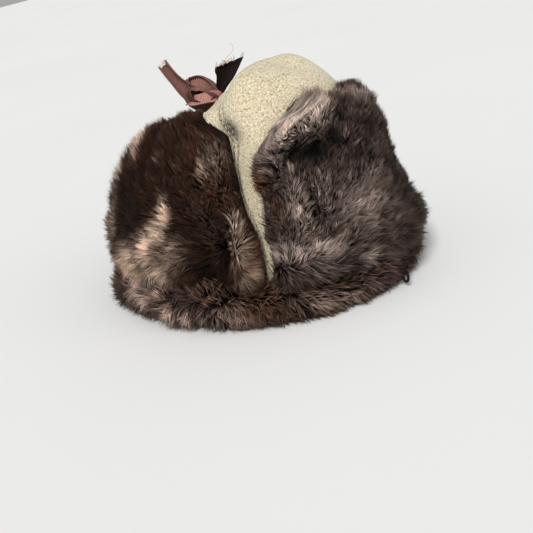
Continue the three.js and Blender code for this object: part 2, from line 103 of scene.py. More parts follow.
class FeltSettings(bpy.types.PropertyGroup):
    """Sizes and colours of the felt crown."""

    half_width: length("Half width", "From the middle to the felt's outer face at the side", 0.08575)
    half_length: length("Half length", "From the middle to the felt's outer face at the front", 0.10475)
    foot: length("Straight height", "Height up to which the felt stands upright", 0.037)
    height: length("Height", "Height of the crown's top", 0.161)
    edge_height: length("Edge height", "Height of the felt's lower edge in the fur roll", 0.010)
    lean: length("Lean", "How far the crown's top sits towards the front", 0.030)
    meeting: length("Seam meeting", "Place of the point where the four seams meet, from the middle", -0.006)
    close_side: share("Side closing", "How fast the dome closes at the sides", 0.3)
    close_front: share("Front closing", "How fast the dome closes at the front", 0.61)
    close_back: share("Back closing", "How fast the dome closes at the back", 0.82)
    thickness: length("Felt thickness", "Thickness of the felt wall", 0.0025)
    seam_depth: length("Seam depth", "How far the felt is pulled in at a seam", 0.0045)
    seam_spread: length("Seam spread", "Width of the valley beside a seam", 0.011)
    fade: length("Seam fade", "Height over which the valleys start above the upright part", 0.034)
    stitch_gap: length("Stitch gap", "From the seam to each row of topstitching", 0.0015)
    stitch_pitch: length("Stitch pitch", "From one stitch to the next", 0.0042)
    stitch_length: length("Stitch length", "Length of one stitch", 0.0032)
    thread: length("Thread", "Thickness of the sewing thread", 0.0008)
    felt_colour: colour("Felt", "Main colour of the wool felt", "#d6c8a9")
    fleck_colour: colour("Flecks", "Darker wool fibres in the felt", "#857247")
    nap_colour: colour("Nap", "Lightest fibres of the felt's nap", "#f3ead2")
    stain_colour: colour("Smudge", "Grey smudge beside the front seam", "#46403a")
    thread_colour: colour("Thread colour", "Colour of the topstitching", "#e2d9b4")


class FurSettings(bpy.types.PropertyGroup):
    """Sizes of the locks and colours of the three coats."""

    tuft_spacing: length("Tuft spacing", "From one fine tuft to the next", 0.0026)
    lock_spacing: length("Lock spacing", "From one broad lock to the next", 0.008)
    inset: length("Pile depth", "How deep the hide lies under the pile's surface", 0.009)
    front_underfur: hairs("Front underfur", "Short hairs on the front flap", 20000)
    front_guard: hairs("Front guard hair", "Long hairs on the front flap", 19000)
    ear_right_underfur: hairs("Right ear underfur", "Short hairs there", 18000)
    ear_right_guard: hairs("Right ear guard hair", "Long hairs there", 17000)
    ear_left_underfur: hairs("Left ear underfur", "Short hairs there", 14000)
    ear_left_guard: hairs("Left ear guard hair", "Long hairs there", 11000)
    neck_underfur: hairs("Neck underfur", "Short hairs on the neck flap", 11000)
    neck_guard: hairs("Neck guard hair", "Long hairs on the neck flap", 8000)
    roll_underfur: hairs("Roll underfur", "Short hairs on the edge roll", 15000)
    roll_guard: hairs("Roll guard hair", "Long hairs on the edge roll", 11000)
    # The root colours are partly the underfur's own colour and partly painted shade deep in the pile
    front_root: colour("Front root", "Underfur of the front flap", "#070404")
    front_body: colour("Front body", "Middle of the front flap's locks", "#261b17")
    front_tip: colour("Front tip", "Grey tips of the front flap", "#735f56")
    front_pale: colour("Front pale tip", "Pale tips of the curled border", "#dfcabd")
    ear_root: colour("Ear root", "Underfur of the ear flaps", "#050302")
    ear_body: colour("Ear body", "Middle of the ear flaps' locks", "#1b0e08")
    ear_tip: colour("Ear tip", "Tips of the ear flaps", "#43281a")
    ear_pale: colour("Ear pale tip", "Tips of the tan patch", "#ffdfc6")
    roll_root: colour("Roll root", "Underfur of the edge roll", "#060403")
    roll_body: colour("Roll body", "Middle of the edge roll's locks", "#2f201a")
    roll_tip: colour("Roll tip", "Tips of the edge roll", "#7d6152")
    roll_pale: colour("Roll pale tip", "Grey tips of the edge roll", "#cfb4a6")
    warm_tip: colour("Warm tip", "Reddish locks in the fur", "#9a6442")
    hide_colour: colour("Hide", "Dyed hide under the fur", "#1d1411")


class RibbonSettings(bpy.types.PropertyGroup):
    """Sizes and colours of the ribbon tie and the small loop."""

    width: length("Ribbon width", "Width of the ribbon", 0.016)
    thickness: length("Ribbon thickness", "Thickness of the ribbon", 0.0008)
    rib_spacing: length("Rib spacing", "From one woven rib to the next", 0.0011)
    ribbon_colour: colour("Ribbon", "Colour of the ribbon", "#705049")
    # The ribbon shade is painted shade in the troughs between the woven ribs
    shade_colour: colour("Ribbon shade", "Darker weft of the ribbon", "#33211e")
    fray_colour: colour("Frayed threads", "Pale threads at the cut ends", "#e3cdbd")
    cord_colour: colour("Loop", "Colour of the small cord loop", "#14100d")
    ragged_cut: length("Ragged cut", "How far the cut ends of the ribbon are ragged", 0.0008)
    fray_radius: length("Fray radius", "Radius of a frayed thread", 0.00022)
    loop_radius: length("Loop radius", "Radius of the small cord loop", 0.0052)
    loop_turn: angle("Loop turn", "Direction in which the small loop hangs", -34)
    cord_thickness: length("Cord thickness", "Thickness of the small cord", 0.0018)


class StageSettings(bpy.types.PropertyGroup):
    """Floor, light and camera."""

    floor_colour: colour("Floor", "Colour of the floor and backdrop", "#f4f4f2")
    key_power: share("Key light", "Strength of the main light", 2.2)
    fill_power: share("Fill light", "Strength of the fill light", 0.5)
    sky_power: share("Sky", "Strength of the even light from all around", 0.38)
    azimuth: angle("Azimuth", "Direction of the camera", -50)
    elevation: angle("Elevation", "Height of the camera over the horizon", 17)
    roll: angle("Roll", "Turn of the picture", 12.8)
    distance: length("Distance", "From the hat's middle to the camera", 0.65)
    target_height: length("Target height", "Height of the point that the camera looks at", 0.06)
    focal_pixels: share("Focal length", "In pixels of the picture", 862.0)


SETTINGS = {
    "hat_felt": FeltSettings,
    "hat_fur": FurSettings,
    "hat_ribbon": RibbonSettings,
    "hat_stage": StageSettings,
}


# Tables

# Azimuths of the four seams, and rows of faces from the felt's edge to its tip
SEAMS = (56.0, -56.0, 128.0, -128.0)
FELT_ROWS = 54

# The tables measure along the hat's outside on a circle of this radius in millimetres
PILE_RADIUS = 100

# Metres of fur outside the felt for each 1 that the dome's gauge grows
GAUGE_REACH = 0.095

# How the front seams wander on their way up: height and azimuth
SEAM_PATH = [
    {"height": 30, "azimuth": 55.4},
    {"height": 60, "azimuth": 57.0},
    {"height": 77, "azimuth": 60.4},
    {"height": 94, "azimuth": 62.6},
    {"height": 106, "azimuth": 62.2},
    {"height": 118, "azimuth": 59.4},
    {"height": 123, "azimuth": 59.8},
    {"height": 131, "azimuth": 63.5},
    {"height": 137, "azimuth": 67.0},
    {"height": 144, "azimuth": 68.7},
    {"height": 150, "azimuth": 70.0},
    {"height": 156, "azimuth": 75.0},
    {"height": 161, "azimuth": 80.0},
]

# Soft dents of the felt: azimuth, share of the crown's height, width and depth in millimetres. A depth
# below 0 is a bump
CROWN_DENTS = [
    {"azimuth": -14, "rise": 0.97, "spread": 12, "depth": 4.5},
    {"azimuth": 34, "rise": 0.72, "spread": 20, "depth": 2.5},
    {"azimuth": 66, "rise": 0.62, "spread": 14, "depth": 2.5},
    {"azimuth": 168, "rise": 0.74, "spread": 26, "depth": 3.5},
    {"azimuth": -92, "rise": 0.78, "spread": 24, "depth": 3.0},
    {"azimuth": 88, "rise": 0.90, "spread": 17, "depth": 9.0},
    {"azimuth": -40, "rise": 0.985, "spread": 22, "depth": 1.8},
    {"azimuth": 40, "rise": 0.965, "spread": 12, "depth": -1.5},
]

# Which way the locks lie: 0 up, 90 towards the wearer's right and back, 180 down. Stand is how upright
# they are, reach how far the tips run on beyond the pile, in millimetres
FRONT_LAY = [
    {"azimuth": 49, "height": 112, "angle": 50, "stand": 0.5, "reach": 8},
    {"azimuth": 40, "height": 124, "angle": 40, "stand": 0.45, "reach": 9},
    {"azimuth": 22, "height": 132, "angle": 30, "stand": 0.45, "reach": 8},
    {"azimuth": 0, "height": 132, "angle": 0, "stand": 0.5, "reach": 6},
    {"azimuth": -25, "height": 128, "angle": -25, "stand": 0.5, "reach": 5},
    {"azimuth": -48, "height": 112, "angle": -50, "stand": 0.5, "reach": 5},
    {"azimuth": 51, "height": 90, "angle": 65, "stand": 0.45, "reach": 9},
    {"azimuth": 51, "height": 60, "angle": 60, "stand": 0.45, "reach": 6},
    {"azimuth": 42, "height": 66, "angle": -20, "stand": 0.35, "reach": 5},
    {"azimuth": 42, "height": 94, "angle": 5, "stand": 0.35, "reach": 5},
    {"azimuth": 32, "height": 88, "angle": -25, "stand": 0.35, "reach": 5},
    {"azimuth": 20, "height": 85, "angle": -30, "stand": 0.4, "reach": 5},
    {"azimuth": 5, "height": 80, "angle": -30, "stand": 0.4, "reach": 5},
    {"azimuth": -15, "height": 80, "angle": -45, "stand": 0.4, "reach": 5},
    {"azimuth": -40, "height": 75, "angle": -60, "stand": 0.4, "reach": 5},
    {"azimuth": 36, "height": 48, "angle": -55, "stand": 0.4, "reach": 7},
    {"azimuth": 15, "height": 45, "angle": -60, "stand": 0.4, "reach": 7},
    {"azimuth": -10, "height": 42, "angle": -90, "stand": 0.45, "reach": 7},
    {"azimuth": -40, "height": 42, "angle": -110, "stand": 0.45, "reach": 7},
    {"azimuth": 40, "height": 32, "angle": -140, "stand": 0.35, "reach": 16},
    {"azimuth": 10, "height": 32, "angle": -150, "stand": 0.35, "reach": 17},
    {"azimuth": -25, "height": 32, "angle": -160, "stand": 0.35, "reach": 15},
]
EAR_LAY = [
    {"azimuth": 60, "height": 118, "angle": -5, "stand": 0.55, "reach": 5},
    {"azimuth": 74, "height": 134, "angle": 0, "stand": 0.3, "reach": 3},
    {"azimuth": 92, "height": 140, "angle": 8, "stand": 0.3, "reach": 4},
    {"azimuth": 112, "height": 122, "angle": 32, "stand": 0.5, "reach": 14},
    {"azimuth": 130, "height": 98, "angle": 52, "stand": 0.5, "reach": 15},
    {"azimuth": 136, "height": 65, "angle": 85, "stand": 0.45, "reach": 7},
    {"azimuth": 61, "height": 95, "angle": -15, "stand": 0.55, "reach": 5},
    {"azimuth": 61, "height": 76, "angle": -40, "stand": 0.55, "reach": 6},
    {"azimuth": 60, "height": 58, "angle": -95, "stand": 0.4, "reach": 8},
    {"azimuth": 62, "height": 42, "angle": -130, "stand": 0.35, "reach": 10},
    {"azimuth": 72, "height": 108, "angle": 0, "stand": 0.25, "reach": 5},
    {"azimuth": 84, "height": 104, "angle": 8, "stand": 0.25, "reach": 5},
    {"azimuth": 100, "height": 104, "angle": 20, "stand": 0.25, "reach": 5},
    {"azimuth": 116, "height": 88, "angle": 50, "stand": 0.3, "reach": 6},
    {"azimuth": 76, "height": 82, "angle": 25, "stand": 0.3, "reach": 5},
    {"azimuth": 90, "height": 82, "angle": 35, "stand": 0.3, "reach": 5},
    {"azimuth": 104, "height": 68, "angle": 70, "stand": 0.35, "reach": 6},
    {"azimuth": 78, "height": 60, "angle": 60, "stand": 0.35, "reach": 6},
    {"azimuth": 90, "height": 58, "angle": 85, "stand": 0.35, "reach": 6},
    {"azimuth": 118, "height": 54, "angle": 110, "stand": 0.4, "reach": 8},
    {"azimuth": 76, "height": 42, "angle": 130, "stand": 0.35, "reach": 10},
    {"azimuth": 92, "height": 42, "angle": 145, "stand": 0.35, "reach": 12},
    {"azimuth": 110, "height": 40, "angle": 150, "stand": 0.35, "reach": 12},
    {"azimuth": 128, "height": 40, "angle": 150, "stand": 0.35, "reach": 12},
    {"azimuth": 70, "height": 34, "angle": 170, "stand": 0.3, "reach": 18},
    {"azimuth": 92, "height": 34, "angle": 165, "stand": 0.3, "reach": 18},
    {"azimuth": 116, "height": 34, "angle": 165, "stand": 0.3, "reach": 18},
]
NECK_LAY = [
    {"azimuth": 140, "height": 92, "angle": 10, "stand": 0.45, "reach": 6},
    {"azimuth": 180, "height": 95, "angle": 0, "stand": 0.45, "reach": 6},
    {"azimuth": 220, "height": 92, "angle": -10, "stand": 0.45, "reach": 6},
    {"azimuth": 150, "height": 68, "angle": 25, "stand": 0.35, "reach": 5},
    {"azimuth": 180, "height": 68, "angle": -5, "stand": 0.35, "reach": 5},
    {"azimuth": 210, "height": 68, "angle": -25, "stand": 0.35, "reach": 5},
    {"azimuth": 150, "height": 42, "angle": 150, "stand": 0.35, "reach": 11},
    {"azimuth": 180, "height": 42, "angle": 180, "stand": 0.35, "reach": 11},
    {"azimuth": 210, "height": 42, "angle": -150, "stand": 0.35, "reach": 11},
]
ROLL_LAY = [
    {"azimuth": 62, "height": 36, "angle": 10, "stand": 0.4, "reach": 9},
    {"azimuth": 85, "height": 36, "angle": 5, "stand": 0.4, "reach": 9},
    {"azimuth": 108, "height": 36, "angle": 5, "stand": 0.4, "reach": 9},
    {"azimuth": 132, "height": 36, "angle": 0, "stand": 0.4, "reach": 9},
    {"azimuth": 180, "height": 36, "angle": 0, "stand": 0.4, "reach": 8},
    {"azimuth": -132, "height": 36, "angle": 0, "stand": 0.4, "reach": 8},
    {"azimuth": -90, "height": 36, "angle": 0, "stand": 0.4, "reach": 8},
    {"azimuth": 0, "height": 30, "angle": -60, "stand": 0.45, "reach": 8},
    {"azimuth": 35, "height": 30, "angle": -70, "stand": 0.45, "reach": 8},
    {"azimuth": 0, "height": 12, "angle": 215, "stand": 0.5, "reach": 6},
    {"azimuth": 22, "height": 20, "angle": 250, "stand": 0.55, "reach": 6},
    {"azimuth": 42, "height": 14, "angle": 220, "stand": 0.45, "reach": 7},
    {"azimuth": -20, "height": 20, "angle": 240, "stand": 0.55, "reach": 5},
    {"azimuth": 62, "height": 18, "angle": 200, "stand": 0.4, "reach": 6},
    {"azimuth": 90, "height": 18, "angle": 175, "stand": 0.4, "reach": 6},
    {"azimuth": 120, "height": 18, "angle": 165, "stand": 0.45, "reach": 6},
    {"azimuth": 180, "height": 18, "angle": 180, "stand": 0.45, "reach": 6},
    {"azimuth": 240, "height": 18, "angle": 190, "stand": 0.45, "reach": 6},
    {"azimuth": 300, "height": 18, "angle": 165, "stand": 0.45, "reach": 6},
    {"azimuth": 340, "height": 14, "angle": 175, "stand": 0.45, "reach": 6},
]

# Where the fur of the right ear flap and of the front flap ends beside the seam between them: height in
# millimetres and azimuth of the furthest tips
FUR_EDGES = [
    {"height": 26, "ear": 57.7, "front": 55.1},
    {"height": 32, "ear": 56.8, "front": 54.0},
    {"height": 43, "ear": 55.6, "front": 52.3},
    {"height": 54, "ear": 55.4, "front": 51.7},
    {"height": 64, "ear": 55.8, "front": 53.2},
    {"height": 75, "ear": 57.7, "front": 53.9},
    {"height": 81, "ear": 59.5, "front": 54.4},
    {"height": 87, "ear": 61.2, "front": 54.7},
    {"height": 97, "ear": 62.7, "front": 54.2},
    {"height": 107, "ear": 61.5, "front": 52.8},
    {"height": 115, "ear": 61.5, "front": 50.1},
    {"height": 119, "ear": 62.2, "front": 44.7},
    {"height": 123, "ear": 62.4, "front": 41.5},
    {"height": 128, "ear": 63.0, "front": 37.5},
    {"height": 133, "ear": 68.5, "front": 31.0},
    {"height": 138, "ear": 78.0, "front": 16.0},
]

# Swells and hollows of the pile: place and half sizes, how far it stands out (amount) and is raised (lift)
# in millimetres, and its turn in degrees where it has one
FRONT_RELIEF = [
    {"azimuth": 37, "height": 124, "across": 16, "along": 12, "lift": 9.0},
    {"azimuth": 17, "height": 127, "across": 14, "along": 11, "lift": 8.0},
    {"azimuth": -33, "height": 80, "across": 32, "along": 20, "amount": -8.0},
    {"azimuth": -33, "height": 52, "across": 32, "along": 16, "amount": -6.0},
    {"azimuth": 36, "height": 34, "across": 24, "along": 7, "amount": 5.0, "lift": -2.0},
    {"azimuth": 0, "height": 34, "across": 34, "along": 8, "amount": 6.0, "lift": -3.0},
    {"azimuth": -38, "height": 34, "across": 24, "along": 7, "amount": 4.0, "lift": -2.0},
    {"azimuth": 46, "height": 114, "across": 7, "along": 9, "amount": 2.0},
    {"azimuth": 36, "height": 126, "across": 11, "along": 9, "amount": 5.5},
    {"azimuth": 22, "height": 130, "across": 12, "along": 8, "amount": 5.0},
    {"azimuth": 34, "height": 104, "across": 9, "along": 6, "amount": -7.0},
    {"azimuth": 24, "height": 105, "across": 10, "along": 7, "amount": -8.0},
    {"azimuth": 14, "height": 113, "across": 8, "along": 10, "amount": -6.5},
    {"azimuth": 6, "height": 121, "across": 8, "along": 7, "amount": -4.0},
    {"azimuth": 33, "height": 72, "across": 3.5, "along": 15, "amount": -5.0},
    {"azimuth": 38, "height": 74, "across": 5, "along": 16, "amount": 3.0},
    {"azimuth": 15, "height": 72, "across": 24, "along": 16, "amount": 3.0},
    {"azimuth": -22, "height": 66, "across": 16, "along": 20, "amount": 2.0},
    {"azimuth": -6, "height": 96, "across": 12, "along": 8, "turn": 20, "amount": -2.5},
    {"azimuth": -40, "height": 95, "across": 9, "along": 14, "turn": -20, "amount": -3.5},
]
EAR_RELIEF = [
    {"azimuth": 72, "height": 128, "across": 14, "along": 13, "lift": -5.5},
    {"azimuth": 100, "height": 130, "across": 20, "along": 13, "lift": -4.0},
    {"azimuth": 76, "height": 36, "across": 22, "along": 8, "amount": 6.0, "lift": -3.0},
    {"azimuth": 112, "height": 36, "across": 28, "along": 8, "amount": 7.0, "lift": -3.0},
    {"azimuth": 68.5, "height": 54, "across": 3.2, "along": 20, "amount": -4.5},
    {"azimuth": 61, "height": 62, "across": 6, "along": 20, "amount": 3.0},
    {"azimuth": 77, "height": 45, "across": 8, "along": 9, "amount": -4.0},
    {"azimuth": 106, "height": 56, "across": 14, "along": 13, "turn": -20, "amount": 3.5},
    {"azimuth": 88, "height": 80, "across": 6, "along": 12, "turn": 20, "amount": 2.0},
    {"azimuth": 80, "height": 74, "across": 5, "along": 10, "amount": -2.0},
    {"azimuth": 72, "height": 116, "across": 5, "along": 9, "amount": 1.5},
    {"azimuth": 100, "height": 100, "across": 16, "along": 12, "amount": 2.0},
]
NECK_RELIEF = [
    {"azimuth": 165, "height": 66, "across": 9, "along": 20, "turn": 10, "amount": -3.5},
    {"azimuth": 196, "height": 60, "across": 8, "along": 18, "turn": -15, "amount": -3.0},
    {"azimuth": 180, "height": 72, "across": 12, "along": 14, "amount": 2.5},
]
ROLL_RELIEF = [
    {"azimuth": 84, "height": 30, "across": 46, "along": 7, "amount": 5.0, "lift": 2.5},
    {"azimuth": 8, "height": 28, "across": 60, "along": 7, "amount": 3.0, "lift": 1.5},
    {"azimuth": 148, "height": 6, "across": 24, "along": 9, "amount": 7.0},
    {"azimuth": -16, "height": 2, "across": 55, "along": 9, "amount": -7.0},
    {"azimuth": 109, "height": 5, "across": 5, "along": 6, "amount": -6.0},
    {"azimuth": 96, "height": 25, "across": 6, "along": 5, "amount": -5.0},
    {"azimuth": 86, "height": 5, "across": 4, "along": 6, "amount": -5.0},
    {"azimuth": 100, "height": 12, "across": 7, "along": 9, "amount": 3.0},
    {"azimuth": 118, "height": 28, "across": 12, "along": 10, "amount": 3.0},
    {"azimuth": 60, "height": 20, "across": 14, "along": 12, "amount": 2.0},
    {"azimuth": 160, "height": 14, "across": 8, "along": 12, "amount": -4.0},
    {"azimuth": 200, "height": 18, "across": 10, "along": 12, "amount": 3.0},
    {"azimuth": -70, "height": 14, "across": 8, "along": 10, "amount": -4.0},
    {"azimuth": -110, "height": 16, "across": 12, "along": 10, "amount": 3.0},
]

# Patches of the coats: place and half sizes in millimetres, turn in degrees where it has one, and how
# strongly. Pale and warm patches are paler and reddish locks; dark patches are painted shade in the
# pile's hollows and grooves, where the locks are also shorter
FRONT_SPOTS = {
    "pale": [
        {"azimuth": 46, "height": 115, "across": 6, "along": 8, "amount": 0.6},
        {"azimuth": 38, "height": 127, "across": 10, "along": 12, "amount": 0.8},
        {"azimuth": 28, "height": 131, "across": 12, "along": 12, "amount": 0.85},
        {"azimuth": 20, "height": 130, "across": 7, "along": 8, "amount": 0.9},
        {"azimuth": -14, "height": 136, "across": 9, "along": 5, "amount": 0.4},
        {"azimuth": -8, "height": 126, "across": 8, "along": 8, "amount": 0.35},
        {"azimuth": 39, "height": 75, "across": 6, "along": 22, "amount": 0.34},
        {"azimuth": 36.5, "height": 100, "across": 3, "along": 4, "amount": 0.7},
        {"azimuth": 18, "height": 66, "across": 22, "along": 14, "amount": 0.33},
        {"azimuth": 9, "height": 82, "across": 9, "along": 6, "amount": 0.3},
        {"azimuth": 45, "height": 45, "across": 10, "along": 8, "amount": 0.45},
        {"azimuth": 34, "height": 45, "across": 10, "along": 8, "amount": 0.4},
        {"azimuth": 21, "height": 35, "across": 6, "along": 4, "amount": 0.35},
        {"azimuth": -44, "height": 70, "across": 12, "along": 18, "turn": 20, "amount": 0.4},
    ],
    "warm": [
        {"azimuth": 48, "height": 92, "across": 3.5, "along": 8, "amount": 1.0},
        {"azimuth": 45, "height": 78, "across": 6, "along": 12, "amount": 0.4},
        {"azimuth": 12, "height": 135, "across": 10, "along": 5, "amount": 0.5},
        {"azimuth": -30, "height": 118, "across": 12, "along": 8, "amount": 0.35},
    ],
    # Painted shade in the hollows and grooves of the pile
    "dark": [
        {"azimuth": 34, "height": 104, "across": 8, "along": 6, "amount": 1.0},
        {"azimuth": 25, "height": 105, "across": 11, "along": 8, "amount": 1.0},
        {"azimuth": 16, "height": 109, "across": 7, "along": 8, "amount": 1.0},
        {"azimuth": 10, "height": 121, "across": 6, "along": 9, "amount": 0.85},
        {"azimuth": 6, "height": 132, "across": 6, "along": 8, "amount": 0.75},
        {"azimuth": 3, "height": 108, "across": 12, "along": 10, "amount": 0.6},
        {"azimuth": 12, "height": 93, "across": 14, "along": 9, "amount": 0.42},
        {"azimuth": -8, "height": 114, "across": 10, "along": 8, "amount": 0.4},
        {"azimuth": 33, "height": 72, "across": 2.8, "along": 14, "amount": 0.85},
        {"azimuth": 45, "height": 86, "across": 4, "along": 6, "amount": 0.4},
        {"azimuth": -10, "height": 52, "across": 16, "along": 14, "amount": 0.5},
        {"azimuth": 28, "height": 34, "across": 10, "along": 5, "amount": 0.4},
        {"azimuth": 3, "height": 38, "across": 14, "along": 6, "amount": 0.4},
        {"azimuth": -13, "height": 94, "across": 8, "along": 12, "amount": 0.5},
        {"azimuth": -4, "height": 66, "across": 10, "along": 22, "amount": 0.4},
        {"azimuth": -20, "height": 75, "across": 16, "along": 34, "amount": 0.5},
    ],
}
EAR_SPOTS = {
    "pale": [
        {"azimuth": 90, "height": 82, "across": 5, "along": 10, "turn": 12, "amount": 0.9},
        {"azimuth": 95, "height": 71, "across": 10, "along": 8, "amount": 0.7},
        {"azimuth": 102, "height": 61, "across": 10, "along": 9, "amount": 0.8},
        {"azimuth": 113, "height": 49, "across": 10, "along": 11, "amount": 1.0},
        {"azimuth": 121, "height": 42, "across": 7, "along": 10, "amount": 1.0},
        {"azimuth": 98, "height": 47, "across": 15, "along": 10, "amount": 0.55},
        {"azimuth": 87, "height": 60, "across": 9, "along": 10, "amount": 0.35},
        {"azimuth": 71, "height": 112, "across": 4, "along": 8, "amount": 0.3},
        {"azimuth": 66, "height": 116, "across": 8, "along": 10, "amount": 0.22},
        {"azimuth": 63, "height": 73, "across": 3.4, "along": 8, "amount": 0.45},
        {"azimuth": 63.5, "height": 57, "across": 5, "along": 10, "amount": 0.42},
        {"azimuth": 126, "height": 75, "across": 5, "along": 14, "amount": 0.4},
        {"azimuth": 116, "height": 120, "across": 8, "along": 7, "amount": 0.8},
        {"azimuth": 129, "height": 100, "across": 6, "along": 9, "amount": 0.5},
        {"azimuth": 62, "height": 44, "across": 8, "along": 6, "amount": 0.4},
    ],
    "warm": [
        {"azimuth": 62, "height": 50, "across": 10, "along": 14, "amount": 0.5},
        {"azimuth": 68, "height": 98, "across": 8, "along": 16, "amount": 0.35},
        {"azimuth": 88, "height": 44, "across": 12, "along": 8, "amount": 0.4},
        {"azimuth": 75, "height": 124, "across": 12, "along": 12, "amount": 0.25},
    ],
    # Painted shade in the hollows and grooves of the pile
    "dark": [
        {"azimuth": 112, "height": 94, "across": 12, "along": 14, "amount": 0.5},
        {"azimuth": 100, "height": 108, "across": 14, "along": 8, "amount": 0.3},
        {"azimuth": 68.5, "height": 54, "across": 2.4, "along": 17, "amount": 0.85},
        {"azimuth": 76, "height": 46, "across": 7, "along": 9, "amount": 0.6},
        {"azimuth": 84, "height": 40, "across": 7, "along": 5, "amount": 0.45},
        {"azimuth": 75, "height": 72, "across": 6, "along": 10, "amount": 0.3},
        {"azimuth": 109, "height": 78, "across": 6, "along": 7, "amount": 0.5},
    ],
}
NECK_SPOTS = {
    "pale": [
        {"azimuth": 150, "height": 60, "across": 14, "along": 12, "turn": 20, "amount": 0.6},
        {"azimuth": 205, "height": 75, "across": 12, "along": 10, "turn": -20, "amount": 0.5},
    ],
    "warm": [
        {"azimuth": 180, "height": 50, "across": 18, "along": 10, "amount": 0.4},
    ],
    # Painted shade in the hollows and grooves of the pile
    "dark": [
        {"azimuth": 172, "height": 82, "across": 16, "along": 10, "amount": 0.35},
    ],
}
ROLL_SPOTS = {
    "pale": [
        {"azimuth": 118, "height": 30, "across": 10, "along": 9, "amount": 1.0},
        {"azimuth": 104, "height": 30, "across": 14, "along": 7, "amount": 0.6},
        {"azimuth": 112, "height": 20, "across": 8, "along": 6, "amount": 0.8},
        {"azimuth": 100, "height": 12, "across": 5, "along": 8, "amount": 0.9},
        {"azimuth": 92, "height": 12, "across": 4, "along": 7, "amount": 0.9},
        {"azimuth": 84, "height": 12, "across": 4, "along": 5, "amount": 0.5},
        {"azimuth": 72, "height": 12, "across": 16, "along": 8, "amount": 0.6},
        {"azimuth": 40, "height": 14, "across": 14, "along": 7, "amount": 0.4},
        {"azimuth": 26, "height": 10, "across": 18, "along": 6, "amount": 0.4},
        {"azimuth": 46, "height": 30, "across": 9, "along": 5, "amount": 0.3},
        {"azimuth": 8, "height": 26, "across": 14, "along": 6, "amount": 0.25},
        {"azimuth": 190, "height": 16, "across": 20, "along": 8, "amount": 0.5},
        {"azimuth": -100, "height": 18, "across": 18, "along": 9, "amount": 0.7},
        {"azimuth": -40, "height": 14, "across": 14, "along": 7, "amount": 0.5},
    ],
    "warm": [
        {"azimuth": 62, "height": 18, "across": 14, "along": 9, "amount": 0.7},
        {"azimuth": 76, "height": 24, "across": 10, "along": 8, "amount": 0.4},
        {"azimuth": -64, "height": 18, "across": 14, "along": 9, "amount": 0.5},
    ],
    # Painted shade in the hollows and grooves of the pile
    "dark": [
        {"azimuth": 109, "height": 6, "across": 4.5, "along": 5, "amount": 0.9},
        {"azimuth": 96, "height": 24, "across": 5, "along": 4, "amount": 0.8},
        {"azimuth": 86, "height": 6, "across": 3.5, "along": 4, "amount": 0.8},
        {"azimuth": 78, "height": 8, "across": 6, "along": 4, "amount": 0.6},
        {"azimuth": 30, "height": 27, "across": 9, "along": 5, "amount": 0.45},
        {"azimuth": -5, "height": 18, "across": 16, "along": 8, "amount": 0.45},
    ],
}

# The two coats of the fur: thickness of a lock and how far it stands proud in millimetres, how much that
# varies, and how far the tips are drawn together in fine tufts and in broad locks
UNDERFUR = {"width": 0.88, "proud": 0.2, "vary": 0.7, "fine": 0.45, "broad": 0.2}
GUARD_HAIR = {"width": 0.5, "proud": 1.8, "vary": 1.2, "fine": 0.3, "broad": 0.15}

# How unevenly each coat is dyed from lock to lock
COAT_CONTRAST = {"front_fur": 1.0, "ear_fur": 0.7, "roll_fur": 1.0}

# Grey smudge on the felt beside the right front seam: its middle, direction and half sizes in millimetres
SMUDGE = {"place": (-55.8, -37.8, 129.0), "run": (-1, -8, -9), "along": 9.5, "across": 4.5, "amount": 2.4}

# Side of the square picture, and the pixel of it at which the camera's target lies
PICTURE = 533
TARGET_PIXEL = (255.5, 196.0)

# Where each lamp stands and how many degrees wide it looks
LAMPS = {
    "key": {"place": (-0.70, -0.36, 0.84), "spread": 16},
    "fill": {"place": (-0.15, -1.00, 0.55), "spread": 60},
}


# Small helpers

def settings(group):
    """The scene's settings of one kind."""
    return getattr(bpy.context.scene, group)


def unit(vectors):
    """Vectors of length one, row by row."""
    size = np.linalg.norm(vectors, axis=-1, keepdims=True)
    return vectors / np.maximum(size, 1e-12)


def smooth(value, low, high):
    """Smooth step from 0 at low to 1 at high."""
    t = np.clip((value - low) / (high - low), 0, 1)
    return t * t * (3 - 2 * t)


def hat_middle():
    """Where the felt's middle lies in the frame: halfway between the side gores, behind the front one."""
    left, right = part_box("crown_left")[1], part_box("crown_right")[0]
    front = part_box("crown_front")[0]
    return np.array([(left.x + right.x) / 2, front.y + settings("hat_felt").half_length, 0.0])


def azimuths(points):
    """Azimuth of each point around the seam meeting point."""
    felt = settings("hat_felt")
    level = points[:, :2] - hat_middle()[:2] - (0, felt.meeting)
    return np.degrees(np.arctan2(-level[:, 0], -level[:, 1]))


def turns_from(angles, middle):
    """Degrees from a middle azimuth to each angle, the short way round."""
    return (angles - middle + 540) % 360 - 180


def level_directions(angles):
    """Level directions away from the middle at azimuths."""
    turn = np.radians(angles)
    return np.stack([-np.sin(turn), -np.cos(turn), np.zeros_like(turn)], axis=-1)


def add_object(name, mesh, material, nodes=()):
    """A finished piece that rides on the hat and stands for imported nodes, with its place in its mesh."""
    piece = bpy.data.objects.new(name, mesh)
    bpy.context.scene.collection.objects.link(piece)
    mesh.materials.append(material)
    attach(piece, "root")
    for node in nodes:
        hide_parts(node)
    return piece


def to_mesh(bm, name):
    """A smoothly shaded mesh of a bmesh, which is freed."""
    mesh = bpy.data.meshes.new(name)
    for face in bm.faces:
        face.smooth = True
    bm.to_mesh(mesh)
    bm.free()
    return mesh


def coordinates(mesh):
    """The mesh's points, row by row."""
    flat = np.empty(len(mesh.vertices) * 3)
    mesh.vertices.foreach_get("co", flat)
    return flat.reshape(-1, 3)


def set_coordinates(mesh, points):
    """Moves the mesh's points to new places."""
    mesh.vertices.foreach_set("co", np.ascontiguousarray(points, dtype=np.float32).ravel())
    mesh.update()


